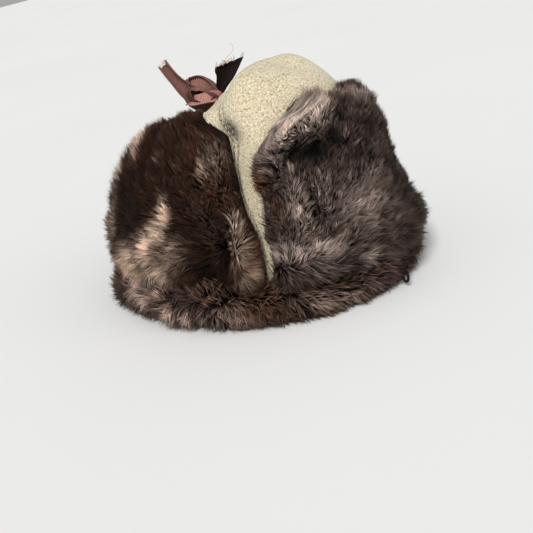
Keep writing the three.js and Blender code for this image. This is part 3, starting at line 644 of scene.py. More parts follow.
def add_values(mesh, name, values):
    """Keeps one number for each of the mesh's points, which its material reads."""
    layer = mesh.attributes.new(name, "FLOAT", "POINT")
    layer.data.foreach_set("value", np.asarray(values, dtype=np.float32))


# Materials

def add_node(tree, kind, inputs=None, stops=None, **options):
    """Adds one node with its options, its inputs as values or links, and its colour stops."""
    node = tree.nodes.new(kind)
    for key, value in options.items():
        setattr(node, key, value)
    for key, value in (inputs or {}).items():
        if isinstance(value, bpy.types.NodeSocket):
            tree.links.new(value, node.inputs[key])
        else:
            node.inputs[key].default_value = value
    if stops:
        ramp = node.color_ramp.elements
        while len(ramp) < len(stops):
            ramp.new(1.0)
        for element, (position, code) in zip(ramp, stops):
            element.position = position
            element.color = (*code, 1.0)
    return node


def new_material(name):
    """An empty material, its tree and its shader."""
    material = bpy.data.materials.new(name)
    material.use_nodes = True
    tree = material.node_tree
    return material, tree, tree.nodes["Principled BSDF"]


def wool_felt(name, base, fleck, nap, stain):
    """Wool felt, pressed and brushed: matt, with darker flecks and a fine pale nap that catches the light."""
    material, tree, shader = new_material(name)
    place = add_node(tree, "ShaderNodeTexCoord").outputs["Object"]
    fine = {"Vector": place, "Scale": 1 / (0.85 * MM), "Detail": 2.0, "Roughness": 0.6}
    fibres = add_node(tree, "ShaderNodeTexNoise", fine)
    coarse = {"Vector": place, "Scale": 1 / (1.5 * MM), "Detail": 2.0, "Roughness": 0.6}
    flecks = add_node(tree, "ShaderNodeTexNoise", coarse)
    broad = add_node(tree, "ShaderNodeTexNoise", {"Vector": place, "Scale": 1 / (45 * MM), "Detail": 2.0})
    mixed = add_node(
        tree,
        "ShaderNodeMath",
        {0: fibres.outputs["Fac"], 1: flecks.outputs["Fac"]},
        operation="ADD",
    )
    halved = add_node(tree, "ShaderNodeMath", {0: mixed.outputs[0], 1: 0.5}, operation="MULTIPLY")
    ramp = add_node(
        tree,
        "ShaderNodeValToRGB",
        {"Fac": halved.outputs[0]},
        stops=[(0.36, fleck), (0.47, base), (0.52, base), (0.62, nap)],
    )
    toned = add_node(
        tree,
        "ShaderNodeMix",
        {0: 0.35, 6: ramp.outputs["Color"], 7: broad.outputs["Fac"]},
        data_type="RGBA",
        blend_type="SOFT_LIGHT",
    )
    # Painted shade in the grooves along each row of topstitching
    groove = add_node(tree, "ShaderNodeAttribute", attribute_name="groove")
    painted_shading = add_node(tree, "ShaderNodeMath", {0: groove.outputs["Fac"], 1: 0.9}, operation="MULTIPLY")
    shadow = (*(c * 0.3 for c in fleck), 1.0)
    sewn = add_node(
        tree,
        "ShaderNodeMix",
        {0: painted_shading.outputs[0], 6: toned.outputs[2], 7: shadow},
        data_type="RGBA",
    )
    smudge = add_node(tree, "ShaderNodeAttribute", attribute_name="smudge")
    broken = add_node(
        tree,
        "ShaderNodeMath",
        {0: smudge.outputs["Fac"], 1: flecks.outputs["Fac"]},
        operation="MULTIPLY",
    )
    stained = add_node(
        tree,
        "ShaderNodeMix",
        {0: broken.outputs[0], 6: sewn.outputs[2], 7: (*stain, 1.0)},
        data_type="RGBA",
    )
    bump = add_node(
        tree, "ShaderNodeBump", {"Strength": 0.55, "Distance": 0.7 * MM, "Height": mixed.outputs[0]}
    )
    tree.links.new(stained.outputs[2], shader.inputs["Base Color"])
    tree.links.new(bump.outputs["Normal"], shader.inputs["Normal"])
    shader.inputs["Roughness"].default_value = 0.95
    shader.inputs["Specular IOR Level"].default_value = 0.15
    shader.inputs["Sheen Weight"].default_value = 0.2
    shader.inputs["Sheen Roughness"].default_value = 0.6
    return material


def sheared_fur(name, root, body, tip, pale, warm):
    """Dense clipped fur: darker towards the root, partly the underfur's own colour and partly painted shade
    deep in the pile, lighter tips and a soft silky gloss along each lock.
    """
    material, tree, shader = new_material(name)
    place = add_node(tree, "ShaderNodeTexCoord").outputs["Object"]
    along = add_node(tree, "ShaderNodeAttribute", attribute_name="along").outputs["Fac"]
    light = add_node(tree, "ShaderNodeAttribute", attribute_name="pale").outputs["Fac"]
    reddish = add_node(tree, "ShaderNodeAttribute", attribute_name="warm").outputs["Fac"]
    shade = add_node(tree, "ShaderNodeAttribute", attribute_name="shade").outputs["Fac"]
    # Near-black roots: the underfur's own dark colour with painted shade deep in the pile
    plain = add_node(
        tree, "ShaderNodeValToRGB", {"Fac": along}, stops=[(0.3, root), (0.66, body), (1.0, tip)]
    )
    bright = add_node(
        tree, "ShaderNodeValToRGB", {"Fac": along}, stops=[(0.1, root), (0.38, tip), (0.75, pale)]
    )
    red = add_node(
        tree, "ShaderNodeValToRGB", {"Fac": along}, stops=[(0.25, root), (0.6, body), (0.97, warm)]
    )
    first = add_node(
        tree,
        "ShaderNodeMix",
        {0: light, 6: plain.outputs["Color"], 7: bright.outputs["Color"]},
        data_type="RGBA",
    )
    second = add_node(
        tree, "ShaderNodeMix", {0: reddish, 6: first.outputs[2], 7: red.outputs["Color"]}, data_type="RGBA"
    )
    tone = add_node(tree, "ShaderNodeTexNoise", {"Vector": place, "Scale": 1 / (14 * MM), "Detail": 2.0})
    level = add_node(
        tree, "ShaderNodeMapRange", {0: tone.outputs["Fac"], 1: 0.3, 2: 0.7, 3: 0.75, 4: 1.25}
    )
    # The shade attribute holds random tone from lock to lock, with painted light and painted shade
    value = add_node(tree, "ShaderNodeMath", {0: level.outputs[0], 1: shade}, operation="MULTIPLY")
    final = add_node(
        tree,
        "ShaderNodeHueSaturation",
        {"Value": value.outputs[0], "Color": second.outputs[2]},
    )
    tree.links.new(final.outputs["Color"], shader.inputs["Base Color"])
    shader.inputs["Roughness"].default_value = 0.5
    shader.inputs["Specular IOR Level"].default_value = 0.14
    return material


def dyed_hide(name, base):
    """Tanned hide dyed with its wool: dark, matt and finely grained, only glimpsed between the locks."""
    material, tree, shader = new_material(name)
    place = add_node(tree, "ShaderNodeTexCoord").outputs["Object"]
    grain = add_node(tree, "ShaderNodeTexNoise", {"Vector": place, "Scale": 1 / (2.2 * MM), "Detail": 4.0})
    ramp = add_node(
        tree,
        "ShaderNodeValToRGB",
        {"Fac": grain.outputs["Fac"]},
        stops=[(0.35, tuple(c * 0.5 for c in base)), (0.7, tuple(min(1, c * 1.7) for c in base))],
    )
    bump = add_node(
        tree, "ShaderNodeBump", {"Strength": 0.8, "Distance": 1.2 * MM, "Height": grain.outputs["Fac"]}
    )
    tree.links.new(ramp.outputs["Color"], shader.inputs["Base Color"])
    tree.links.new(bump.outputs["Normal"], shader.inputs["Normal"])
    shader.inputs["Roughness"].default_value = 0.9
    shader.inputs["Specular IOR Level"].default_value = 0.15
    return material


def cotton_thread(name, base):
    """Spun cotton: matt, with a fine twist across each thread."""
    material, tree, shader = new_material(name)
    place = add_node(tree, "ShaderNodeTexCoord").outputs["Object"]
    twist = add_node(tree, "ShaderNodeTexNoise", {"Vector": place, "Scale": 1 / (0.9 * MM), "Detail": 2.0})
    ramp = add_node(
        tree,
        "ShaderNodeValToRGB",
        {"Fac": twist.outputs["Fac"]},
        stops=[(0.35, tuple(c * 0.7 for c in base)), (0.65, base)],
    )
    tree.links.new(ramp.outputs["Color"], shader.inputs["Base Color"])
    shader.inputs["Roughness"].default_value = 0.8
    shader.inputs["Specular IOR Level"].default_value = 0.25
    return material


def woven_ribbon(name, base, shade):
    """Ribbed silk ribbon: fine crosswise ribs, each with a painted sheen on its crest and painted shade
    between them.
    """
    material, tree, shader = new_material(name)
    weave = add_node(tree, "ShaderNodeUVMap").outputs["UV"]
    parts = add_node(tree, "ShaderNodeSeparateXYZ", {"Vector": weave})
    pitch = settings("hat_ribbon").rib_spacing / MM
    rows = add_node(
        tree, "ShaderNodeMath", {0: parts.outputs["Y"], 1: math.tau / pitch}, operation="MULTIPLY"
    )
    ribs = add_node(tree, "ShaderNodeMath", {0: rows.outputs[0]}, operation="SINE")
    place = add_node(tree, "ShaderNodeTexCoord").outputs["Object"]
    slubs = add_node(tree, "ShaderNodeTexNoise", {"Vector": place, "Scale": 1 / (2.5 * MM), "Detail": 3.0})
    height = add_node(
        tree, "ShaderNodeMath", {0: slubs.outputs["Fac"], 1: ribs.outputs[0]}, operation="ADD"
    )
    level = add_node(tree, "ShaderNodeMapRange", {0: height.outputs[0], 1: -0.8, 2: 1.7})
    # Painted sheen on the crests of the ribs and painted shade in the troughs between them
    crest = tuple(min(1, c * 1.25) for c in base)
    ramp = add_node(
        tree,
        "ShaderNodeValToRGB",
        {"Fac": level.outputs[0]},
        stops=[(0.1, shade), (0.55, base), (1.0, crest)],
    )
    # Painted light and shade: the tone attribute brightens lit bends and darkens shaded ones
    tone = add_node(tree, "ShaderNodeAttribute", attribute_name="tone")
    painted_shading = add_node(
        tree, "ShaderNodeHueSaturation", {"Value": tone.outputs["Fac"], "Color": ramp.outputs["Color"]}
    )
    bump = add_node(
        tree, "ShaderNodeBump", {"Strength": 0.5, "Distance": 0.25 * MM, "Height": height.outputs[0]}
    )
    tree.links.new(painted_shading.outputs["Color"], shader.inputs["Base Color"])
    tree.links.new(bump.outputs["Normal"], shader.inputs["Normal"])
    shader.inputs["Roughness"].default_value = 0.42
    shader.inputs["Specular IOR Level"].default_value = 0.1
    return material


def painted_board(name, base):
    """Matt painted board: an even pale sweep that throws light back and takes a soft shadow."""
    material, tree, shader = new_material(name)
    place = add_node(tree, "ShaderNodeTexCoord").outputs["Object"]
    mottle = add_node(tree, "ShaderNodeTexNoise", {"Vector": place, "Scale": 1 / 0.4, "Detail": 2.0})
    ramp = add_node(
        tree,
        "ShaderNodeValToRGB",
        {"Fac": mottle.outputs["Fac"]},
        stops=[(0.3, tuple(c * 0.98 for c in base)), (0.7, base)],
    )
    tree.links.new(ramp.outputs["Color"], shader.inputs["Base Color"])
    shader.inputs["Roughness"].default_value = 0.9
    shader.inputs["Specular IOR Level"].default_value = 0.1
    return material


# Felt dome, as the solids have it

def dome_gauge(points):
    """Below 1 inside the smooth dome of the felt's outer face, above 1 outside."""
    felt = settings("hat_felt")
    x, y, z = points.T
    rise = np.clip((z - felt.foot) / (felt.height - felt.foot), 0, 0.9999)
    shrink = 1 - rise**1.5
    lengthwise = y + felt.lean * rise**1.3
    reach = felt.half_length * np.where(lengthwise < 0, shrink**felt.close_front, shrink**felt.close_back)
    gauge = np.hypot(x / (felt.half_width * shrink**felt.close_side), lengthwise / reach)
    above = 1.001 + (z - felt.height) / (felt.height - felt.foot)
    return np.where(z >= felt.height, above, gauge)


def dome_normals(points):
    """Outward directions of the smooth dome at points on it."""
    step = 0.5 * MM
    columns = [
        dome_gauge(points + step * axis) - dome_gauge(points - step * axis) for axis in np.eye(3)
    ]
    return unit(np.stack(columns, axis=-1))


def dome_hits(origins, directions):
    """Where lines from inside the hat meet the smooth dome."""
    inside = np.zeros(len(directions))
    outside = np.full(len(directions), 0.36)
    for _ in range(40):
        middle = (inside + outside) / 2
        within = dome_gauge(origins + directions * middle[:, None]) < 1
        inside = np.where(within, middle, inside)
        outside = np.where(within, outside, middle)
    return origins + directions * inside[:, None]


def dome_at(angles, heights):
    """Points of the smooth dome at azimuths and heights."""
    felt = settings("hat_felt")
    origins = np.zeros((len(angles), 3))
    origins[:, 1] = felt.meeting
    origins[:, 2] = heights
    return dome_hits(origins, level_directions(np.asarray(angles, float)))


def seam_lines(angles, points):
    """1 along each row of topstitching, 0 away from it."""
    felt = settings("hat_felt")
    radius = np.hypot(points[:, 0], points[:, 1] - felt.meeting)
    lines = np.zeros(len(points))
    for seam in SEAMS:
        distance = np.radians(np.abs(turns_from(angles, seam))) * radius
        lines = np.maximum(lines, np.exp(-(((distance - felt.stitch_gap) / (0.55 * MM)) ** 2)))
    return lines


def felt_pull(angles, points):
    """How far the felt is drawn in by its seams, their stitching and its soft dents."""
    felt = settings("hat_felt")
    radius = np.hypot(points[:, 0], points[:, 1] - felt.meeting)
    fade = smooth(points[:, 2], felt.foot, felt.foot + felt.fade)
    valley = np.zeros(len(points))
    crease = np.zeros(len(points))
    for seam in SEAMS:
        distance = np.radians(np.abs(turns_from(angles, seam))) * radius
        valley = np.maximum(valley, felt.seam_depth * np.exp(-((distance / felt.seam_spread) ** 2)))
        joint = 0.5 * MM * np.exp(-((distance / (0.5 * MM)) ** 2))
        sewn = 1.3 * MM * np.exp(-(((distance - felt.stitch_gap) / (0.6 * MM)) ** 2))
        run = points[:, 2] + 0.35 * radius
        pucker = np.sin(run / (1.35 * MM) + 2.1 * np.sin(run / (6.1 * MM)) + seam)
        near = np.exp(-(((distance - 3.5 * MM) / (3.5 * MM)) ** 2))
        crease = np.maximum(crease, joint + sewn) + 0.28 * MM * pucker * near
    pull = valley
    for dent in CROWN_DENTS:
        bottom = dome_at([dent["azimuth"]], [dent["rise"] * felt.height])
        distance = np.linalg.norm(points - bottom, axis=1) / MM
        pull = pull + dent["depth"] * MM * np.exp(-((distance / dent["spread"]) ** 2))
    x, y, z = points.T / MM
    slack = np.sin(x / 13 + 1.3 * np.sin(z / 17)) * np.sin(y / 16 + z / 21 + 0.6)
    slack = slack + 0.5 * np.sin(x / 7.1 - z / 9.3 + 1.0) * np.sin(y / 8.3 + 2.0)
    return pull * fade + (crease + 0.45 * MM * slack) * smooth(points[:, 2], 0.02, 0.06)


def seam_drift(angles, heights):
    """How far the front seams, and the felt beside them, wander off their straight azimuths."""
    path = [row["azimuth"] - SEAMS[0] for row in SEAM_PATH]
    drift = np.interp(heights / MM, [row["height"] for row in SEAM_PATH], path)
    near = [np.exp(-((turns_from(angles, seam) / 26) ** 2)) for seam in SEAMS[:2]]
    return drift * (near[0] - near[1])


def felt_points(angles, shares, drifted=None):
    """Points of the felt at azimuths and shares of the way from its lower edge to its tip."""
    felt = settings("hat_felt")
    if drifted is None:
        first, _ = felt_points(angles, shares, angles)
        return felt_points(angles, shares, angles + seam_drift(angles, first[:, 2]))
    core = np.array([0.0, felt.meeting, felt.height * 0.25])
    foot = dome_at(drifted, np.full(len(angles), felt.edge_height))
    foot_radius = np.hypot(foot[:, 0], foot[:, 1] - felt.meeting)
    lowest = np.arctan2(felt.edge_height - core[2], foot_radius)
    tilt = lowest + (math.pi / 2 - lowest) * shares
    ways = level_directions(drifted) * np.cos(tilt)[:, None]
    ways[:, 2] = np.sin(tilt)
    points = dome_hits(np.tile(core, (len(angles), 1)), ways)
    normals = dome_normals(points)
    normals[shares <= 0, 2] = 0
    normals = unit(normals)
    blend = smooth(shares, 0.75, 1.0)[:, None]
    normals = unit(normals * (1 - blend) + unit(points - core) * blend)
    pull = felt_pull(angles, points)
    return points - normals * pull[:, None], normals


def felt_ring():
    """Azimuths of the felt's grid: close together beside the seams, at most 2.8 degrees apart elsewhere."""
    beside = (0.0, 0.5, 1.0, 1.5, 2.0, 2.6, 3.4, 4.6, 6.4, 9.0)
    steps = [math.degrees(side * step / 80) for step in beside for side in (-1, 1)]
    stops = sorted({(seam + step) % 360 for seam in SEAMS for step in steps})
    ring = []
    for low, high in zip(stops, stops[1:] + [stops[0] + 360]):
        parts = max(1, round((high - low) / 2.8))
        ring += [low + (high - low) * k / parts for k in range(parts)]
    return ring


def dome_above(places):
    """Points of the smooth dome above places in plan, and its normals there."""
    origins = np.column_stack([places, np.full(len(places), settings("hat_felt").edge_height)])
    points = dome_hits(origins, np.tile([0.0, 0.0, 1.0], (len(places), 1)))
    return points, dome_normals(points)


# Fur

def mirrored(table):
    """The same rows on the other side of the hat."""
    turned = []
    for row in table:
        other = dict(row, azimuth=-row["azimuth"])
        if "angle" in row:
            other["angle"] = -row["angle"]
        if "turn" in row:
            other["turn"] = -row["turn"]
        turned.append(other)
    return turned


def lock_template():
    """One closed lock on three sides, thickest halfway: x and y across, z from root to tip."""
    bm = bmesh.new()
    bmesh.ops.create_circle(bm, cap_ends=True, cap_tris=True, segments=3, radius=0.5)
    rim = [e for e in bm.edges if e.is_boundary]
    for vertex in bm.verts:
        vertex.co.z = 0.0 if vertex.co.length < 0.1 else 0.5
    grown = bmesh.ops.extrude_edge_only(bm, edges=rim)["geom"]
    ends = [g for g in grown if isinstance(g, bmesh.types.BMVert)]
    bmesh.ops.pointmerge(bm, verts=ends, merge_co=Vector((0.0, 0.0, 1.0)))
    bmesh.ops.recalc_face_normals(bm, faces=bm.faces)
    bm.verts.index_update()
    points = np.array([v.co for v in bm.verts])
    faces = [[v.index for v in f.verts] for f in bm.faces]
    bm.free()
    return points, faces


def joined_copies(name, points, faces, count):
    """One mesh of many copies of a template, its points given copy by copy."""
    corners = np.concatenate([np.array(f) for f in faces])
    sizes = np.array([len(f) for f in faces])
    step = len(points) // count
    loops = (corners[None, :] + step * np.arange(count)[:, None]).ravel()
    starts = np.concatenate([[0], np.cumsum(np.tile(sizes, count))[:-1]])
    mesh = bpy.data.meshes.new(name)
    mesh.vertices.add(len(points))
    mesh.loops.add(len(loops))
    mesh.polygons.add(len(starts))
    mesh.vertices.foreach_set("co", points.astype(np.float32).ravel())
    mesh.loops.foreach_set("vertex_index", loops.astype(np.int32))
    mesh.polygons.foreach_set("loop_start", starts.astype(np.int32))
    mesh.polygons.foreach_set("use_smooth", np.ones(len(starts), dtype=bool))
    mesh.update(calc_edges=True)
    mesh.validate()
    return mesh


def bent_locks(name, roots, bends, tips, widths, values):
    """Locks along smooth bends from root to tip, with their point values kept as attributes."""
    template, faces = lock_template()
    t = template[:, 2][None, :, None]
    path = roots[:, None] * (1 - t) ** 2 + bends[:, None] * 2 * t * (1 - t) + tips[:, None] * t**2
    run = unit(tips - roots)
    side = unit(np.cross(run, bends - roots) + 1e-9)
    other = np.cross(run, side)
    spread = side[:, None] * template[:, 0][None, :, None] + other[:, None] * template[:, 1][None, :, None]
    points = path + spread * widths[:, None, None]
    points[..., 2] = np.maximum(points[..., 2], 0.25 * MM)
    mesh = joined_copies(name, points.reshape(-1, 3), faces, len(roots))
    for key, column in values.items():
        add_values(mesh, key, np.repeat(column, len(template)))
    add_values(mesh, "along", np.tile(template[:, 2], len(roots)))
    return mesh


def outward_ways(points):
    """Level directions away from the hat's middle, square to its oval."""
    felt = settings("hat_felt")
    local = points - hat_middle()
    ways = np.stack(
        [local[:, 0] / felt.half_width**2, local[:, 1] / felt.half_length**2, np.zeros(len(local))], axis=-1
    )
    return unit(ways)


def place_in_rows(row, angles, heights):
    """How near places are to a table's row: 1 at its middle, fading over its half sizes."""
    turn = math.radians(row.get("turn", 0))
    x = np.radians(turns_from(angles, row["azimuth"])) * PILE_RADIUS
    y = heights / MM - row["height"]
    c, s = math.cos(turn), math.sin(turn)
    across, along = x * c + y * s, -x * s + y * c
    return np.exp(-((across / row["across"]) ** 2 + (along / row["along"]) ** 2) * 0.8)


def spot_mask(table, angles, heights):
    """0 to 1 where a table's patches lie."""
    mask = np.zeros(len(angles))
    for row in table:
        mask = np.maximum(mask, row["amount"] * place_in_rows(row, angles, heights))
    return mask


def lay_values(table, angles, heights, reach=20.0):
    """Lean angle, stand and reach at places, each row of the table weighing more nearby."""
    sums = np.zeros((4, len(angles)))
    weights = np.full(len(angles), 1e-12)
    for row in table:
        turn = np.radians(turns_from(angles, row["azimuth"]))
        distance = np.hypot(turn * PILE_RADIUS, heights / MM - row["height"])
        weight = 1 / (1 + (distance / reach) ** 4)
        lean = math.radians(row["angle"])
        for k, value in enumerate((math.sin(lean), math.cos(lean), row["stand"], row["reach"])):
            sums[k] += weight * value
        weights += weight
    return np.arctan2(sums[0], sums[1]), sums[2] / weights, sums[3] / weights * MM


def pile_surface(node, relief):
    """The node's outer form, welded, refined and smoothed, with its swells and hollows."""
    bm = bmesh.new()
    bm.from_mesh(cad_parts[node].data)
    bmesh.ops.remove_doubles(bm, verts=bm.verts, dist=0.01 * MM)
    bmesh.ops.subdivide_edges(bm, edges=bm.edges, cuts=1, use_grid_fill=True)
    for _ in range(2):
        bmesh.ops.smooth_vert(
            bm, verts=bm.verts, factor=0.5, use_axis_x=True, use_axis_y=True, use_axis_z=True
        )
    bmesh.ops.triangulate(bm, faces=bm.faces)
    bm.normal_update()
    points = np.array([v.co for v in bm.verts])
    ways = outward_ways(points)
    facing = (np.array([v.normal for v in bm.verts]) * ways).sum(1)
    angles = azimuths(points)
    near = [place_in_rows(row, angles, points[:, 2]) for row in relief]
    swell = sum(row.get("amount", 0) * MM * n for row, n in zip(relief, near))
    points = points + ways * (swell * smooth(facing, -0.1, 0.5))[:, None]
    points[:, 2] += sum(row.get("lift", 0) * MM * n for row, n in zip(relief, near))
    for vertex, place in zip(bm.verts, points):
        vertex.co = place
    bm.normal_update()
    return bm, facing


def hide_points(points, normals, facing):
    """The hide under the pile: points drawn in by the pile's depth, less where it is thin."""
    fur = settings("hat_fur")
    gap = (dome_gauge(points - hat_middle()) - 1) * GAUGE_REACH
    deep = np.clip(0.62 * gap, 0.0, fur.inset) * np.clip(facing + 0.55, 0, 1)
    sunk = points - normals * deep[:, None]
    lower = 3.0 * smooth(points[:, 2], 0.04, 0.07) + 6.0 * smooth(points[:, 2], 0.118, 0.136)
    sunk[:, 2] -= lower * MM * smooth(normals[:, 2], 0.0, 0.5)
    return off_felt(sunk)


def off_felt(points):
    """Points kept just clear of the felt crown."""
    short = np.clip(1.012 - dome_gauge(points - hat_middle()), 0, 0.2)
    return points + outward_ways(points) * (short * GAUGE_REACH)[:, None]


def within_edges(tips, node):
    """Tips beside the front seams brought to where the fur ends there."""
    key = {"front_flap": "front", "ear_flap_right": "ear", "ear_flap_left": "ear"}.get(node)
    if not key:
        return tips
    felt = settings("hat_felt")
    angles = azimuths(tips)
    edge = np.interp(tips[:, 2] / MM, [row["height"] for row in FUR_EDGES], [row[key] for row in FUR_EDGES])
    side = np.sign(angles)
    beyond = (np.abs(angles) - edge) * (1 if key == "front" else -1)
    back = np.where(beyond > 0, beyond * 0.9, 0)
    forth = 2.0 * smooth(beyond, -9, -1) * (beyond <= 0) if key == "front" else 0
    turn = np.radians((back - forth) * side * (1 if key == "front" else -1))
    pivot = hat_middle() + (0, felt.meeting, 0)
    x, y, z = (tips - pivot).T
    c, s = np.cos(turn), np.sin(turn)
    return np.stack([x * c - y * s, x * s + y * c, z], axis=-1) + pivot


def tufts_of(points, area, spacing, rng):
    """Picks a head for each tuft and gives each point the number of the head nearest to it."""
    count = min(len(points), max(12, int(area / spacing**2)))
    heads = rng.choice(len(points), size=count, replace=False)
    tree = KDTree(count)
    for k, head in enumerate(heads):
        tree.insert(points[head], k)
    tree.balance()
    return heads, np.array([tree.find(p)[1] for p in points])


def grow_coat(name, node, slot, coat, count, surface, lay, spots, material, rng):
    """One coat of locks on the pile's surface."""
    fur = settings("hat_fur")
    corners, normals, hide, triangles, areas = surface
    chosen = rng.choice(len(areas), size=count, p=areas / areas.sum())
    r1, r2 = np.sqrt(rng.random(count)), rng.random(count)
    shares = np.stack([1 - r1, r1 * (1 - r2), r1 * r2], axis=-1)[..., None]
    picked = triangles[chosen]
    points = (corners[picked] * shares).sum(1)
    ways = unit((normals[picked] * shares).sum(1))
    feet = (hide[picked] * shares).sum(1)
    angles, heights = azimuths(points), points[:, 2]

    up = np.array([0.0, 0.0, 1.0]) + 0.35 * outward_ways(points)
    up = unit(up - ways * (up * ways).sum(1)[:, None])
    around = np.cross(up, ways)
    turn = np.radians(angles)
    flow = np.stack([-np.cos(turn), np.sin(turn), np.zeros(count)], axis=-1)
    around = around * np.sign((around * flow).sum(1))[:, None]

    lean, stand, reach = lay_values(lay, angles, heights)
    heads, fine = tufts_of(points, areas.sum(), fur.tuft_spacing, rng)
    locks, broad = tufts_of(points, areas.sum(), fur.lock_spacing, rng)
    wild = COAT_CONTRAST[slot] * (1.3 if slot == "roll_fur" else 1.0)
    lean = lean + (rng.normal(0, 0.42, len(locks))[broad] + rng.normal(0, 0.26, len(heads))[fine]) * wild
    lean = lean + rng.normal(0, 0.14, count)
    rise = rng.normal(0, 1.0, len(locks))[broad] + rng.normal(0, 0.7, len(heads))[fine]
    shade = rng.normal(0, 0.16, len(locks))[broad] + rng.normal(0, 0.24, len(heads))[fine]
    shade = 1 + (shade + rng.normal(0, 0.16, count)) * COAT_CONTRAST[slot]
    stand = np.clip(stand + rng.normal(0, 0.06, count), 0.12, 0.9)[:, None]
    swept = np.cos(lean)[:, None] * up + np.sin(lean)[:, None] * around
    direction = unit(ways * stand + swept * (1 - stand))

    # Dark patches: painted shade in the pile's hollows and grooves, where the locks are also shorter
    dark = spot_mask(spots.get("dark", []), angles, heights)
    pale = spot_mask(spots.get("pale", []), angles, heights) * 1.4
    warm = spot_mask(spots.get("warm", []), angles, heights) * 1.2
    mottle = rng.normal(0, 0.16, len(locks))[broad] + rng.normal(0, 0.2, len(heads))[fine]
    mottle = mottle * np.maximum(np.minimum(pale * 1.6, 1), 0.55 * COAT_CONTRAST[slot] ** 2)
    pale = np.clip(pale - 0.3 * rng.random(count) + mottle, 0, 1)
    warm = np.clip(warm - 0.3 * rng.random(count) + mottle * 0.4, 0, 1)
    # Painted light: the locks of the pale patches are brightened further, as where they catch the light
    shade = shade * (1 + 0.2 * pale)

    proud = coat["proud"] + coat["vary"] * rng.normal(0, 0.6, count) + rise - 5.0 * dark
    reached = reach * rng.uniform(0.7, 1.25, count)
    tips = points + ways * (proud * MM)[:, None] + direction * reached[:, None]
    for members, leaders, gather in ((fine, heads, coat["fine"]), (broad, locks, coat["broad"])):
        drawn = gather * np.clip(rng.normal(1, 0.3, count), 0.1, 1.6)[:, None]
        tips = tips + (tips[leaders][members] - tips) * drawn
    tips = off_felt(within_edges(tips, node))
    roots = feet - ways * 0.5 * MM - swept * (reach * 0.5)[:, None]
    bends = off_felt(points + ways * 1.2 * MM - swept * (reach * 0.15)[:, None])
    widths = coat["width"] * MM * np.clip(rng.normal(1.0, 0.2, count), 0.5, 1.6)
    # The shade value holds random lock-to-lock tone, painted light on the pale patches and painted shade in
    # the dark ones
    values = {"pale": pale, "warm": warm, "shade": np.clip(shade, 0.25, 2.6) * (1 - 0.98 * dark)}
    mesh = bent_locks(name, roots, bends, tips, widths, values)
    return add_object(name, mesh, material, [node])


def fur_piece(node, slot, counts, tables, materials, bare, seed):
    """Hide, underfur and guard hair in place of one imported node.

    The tables are its lay, spots and relief, and bare says where no locks stand.
    """
    lay, spots, relief = tables
    bm, facing = pile_surface(node, relief)
    points = np.array([v.co for v in bm.verts])
    normals = np.array([v.normal for v in bm.verts])
    triangles = np.array([[v.index for v in f.verts] for f in bm.faces])
    hide = hide_points(points, normals, facing)
    for vertex, place in zip(bm.verts, hide):
        vertex.co = place
    add_object(f"{node}_hide", to_mesh(bm, f"{node}_hide"), materials[1])

    sides = points[triangles]
    areas = np.linalg.norm(np.cross(sides[:, 1] - sides[:, 0], sides[:, 2] - sides[:, 0]), axis=1) / 2
    areas[bare(sides.mean(1), unit(normals[triangles].mean(1)))] = 0
    surface = (points, normals, hide, triangles, areas)
    for k, (coat, count) in enumerate(zip((UNDERFUR, GUARD_HAIR), counts)):
        name = f"{node}_underfur" if k == 0 else f"{node}_guard_hair"
        rng = np.random.default_rng(SEED + 10 * seed + k)
        grow_coat(name, node, slot, coat, count, surface, lay, spots, materials[0], rng)


# Ribbon

# The tie's own directions: rightwards, upwards and nearwards as the knot is seen from the hat's right front
TIE_WAYS = np.array([(0.568, -0.796, -0.208), (0.42, 0.063, 0.905), (-0.708, -0.601, 0.37)])

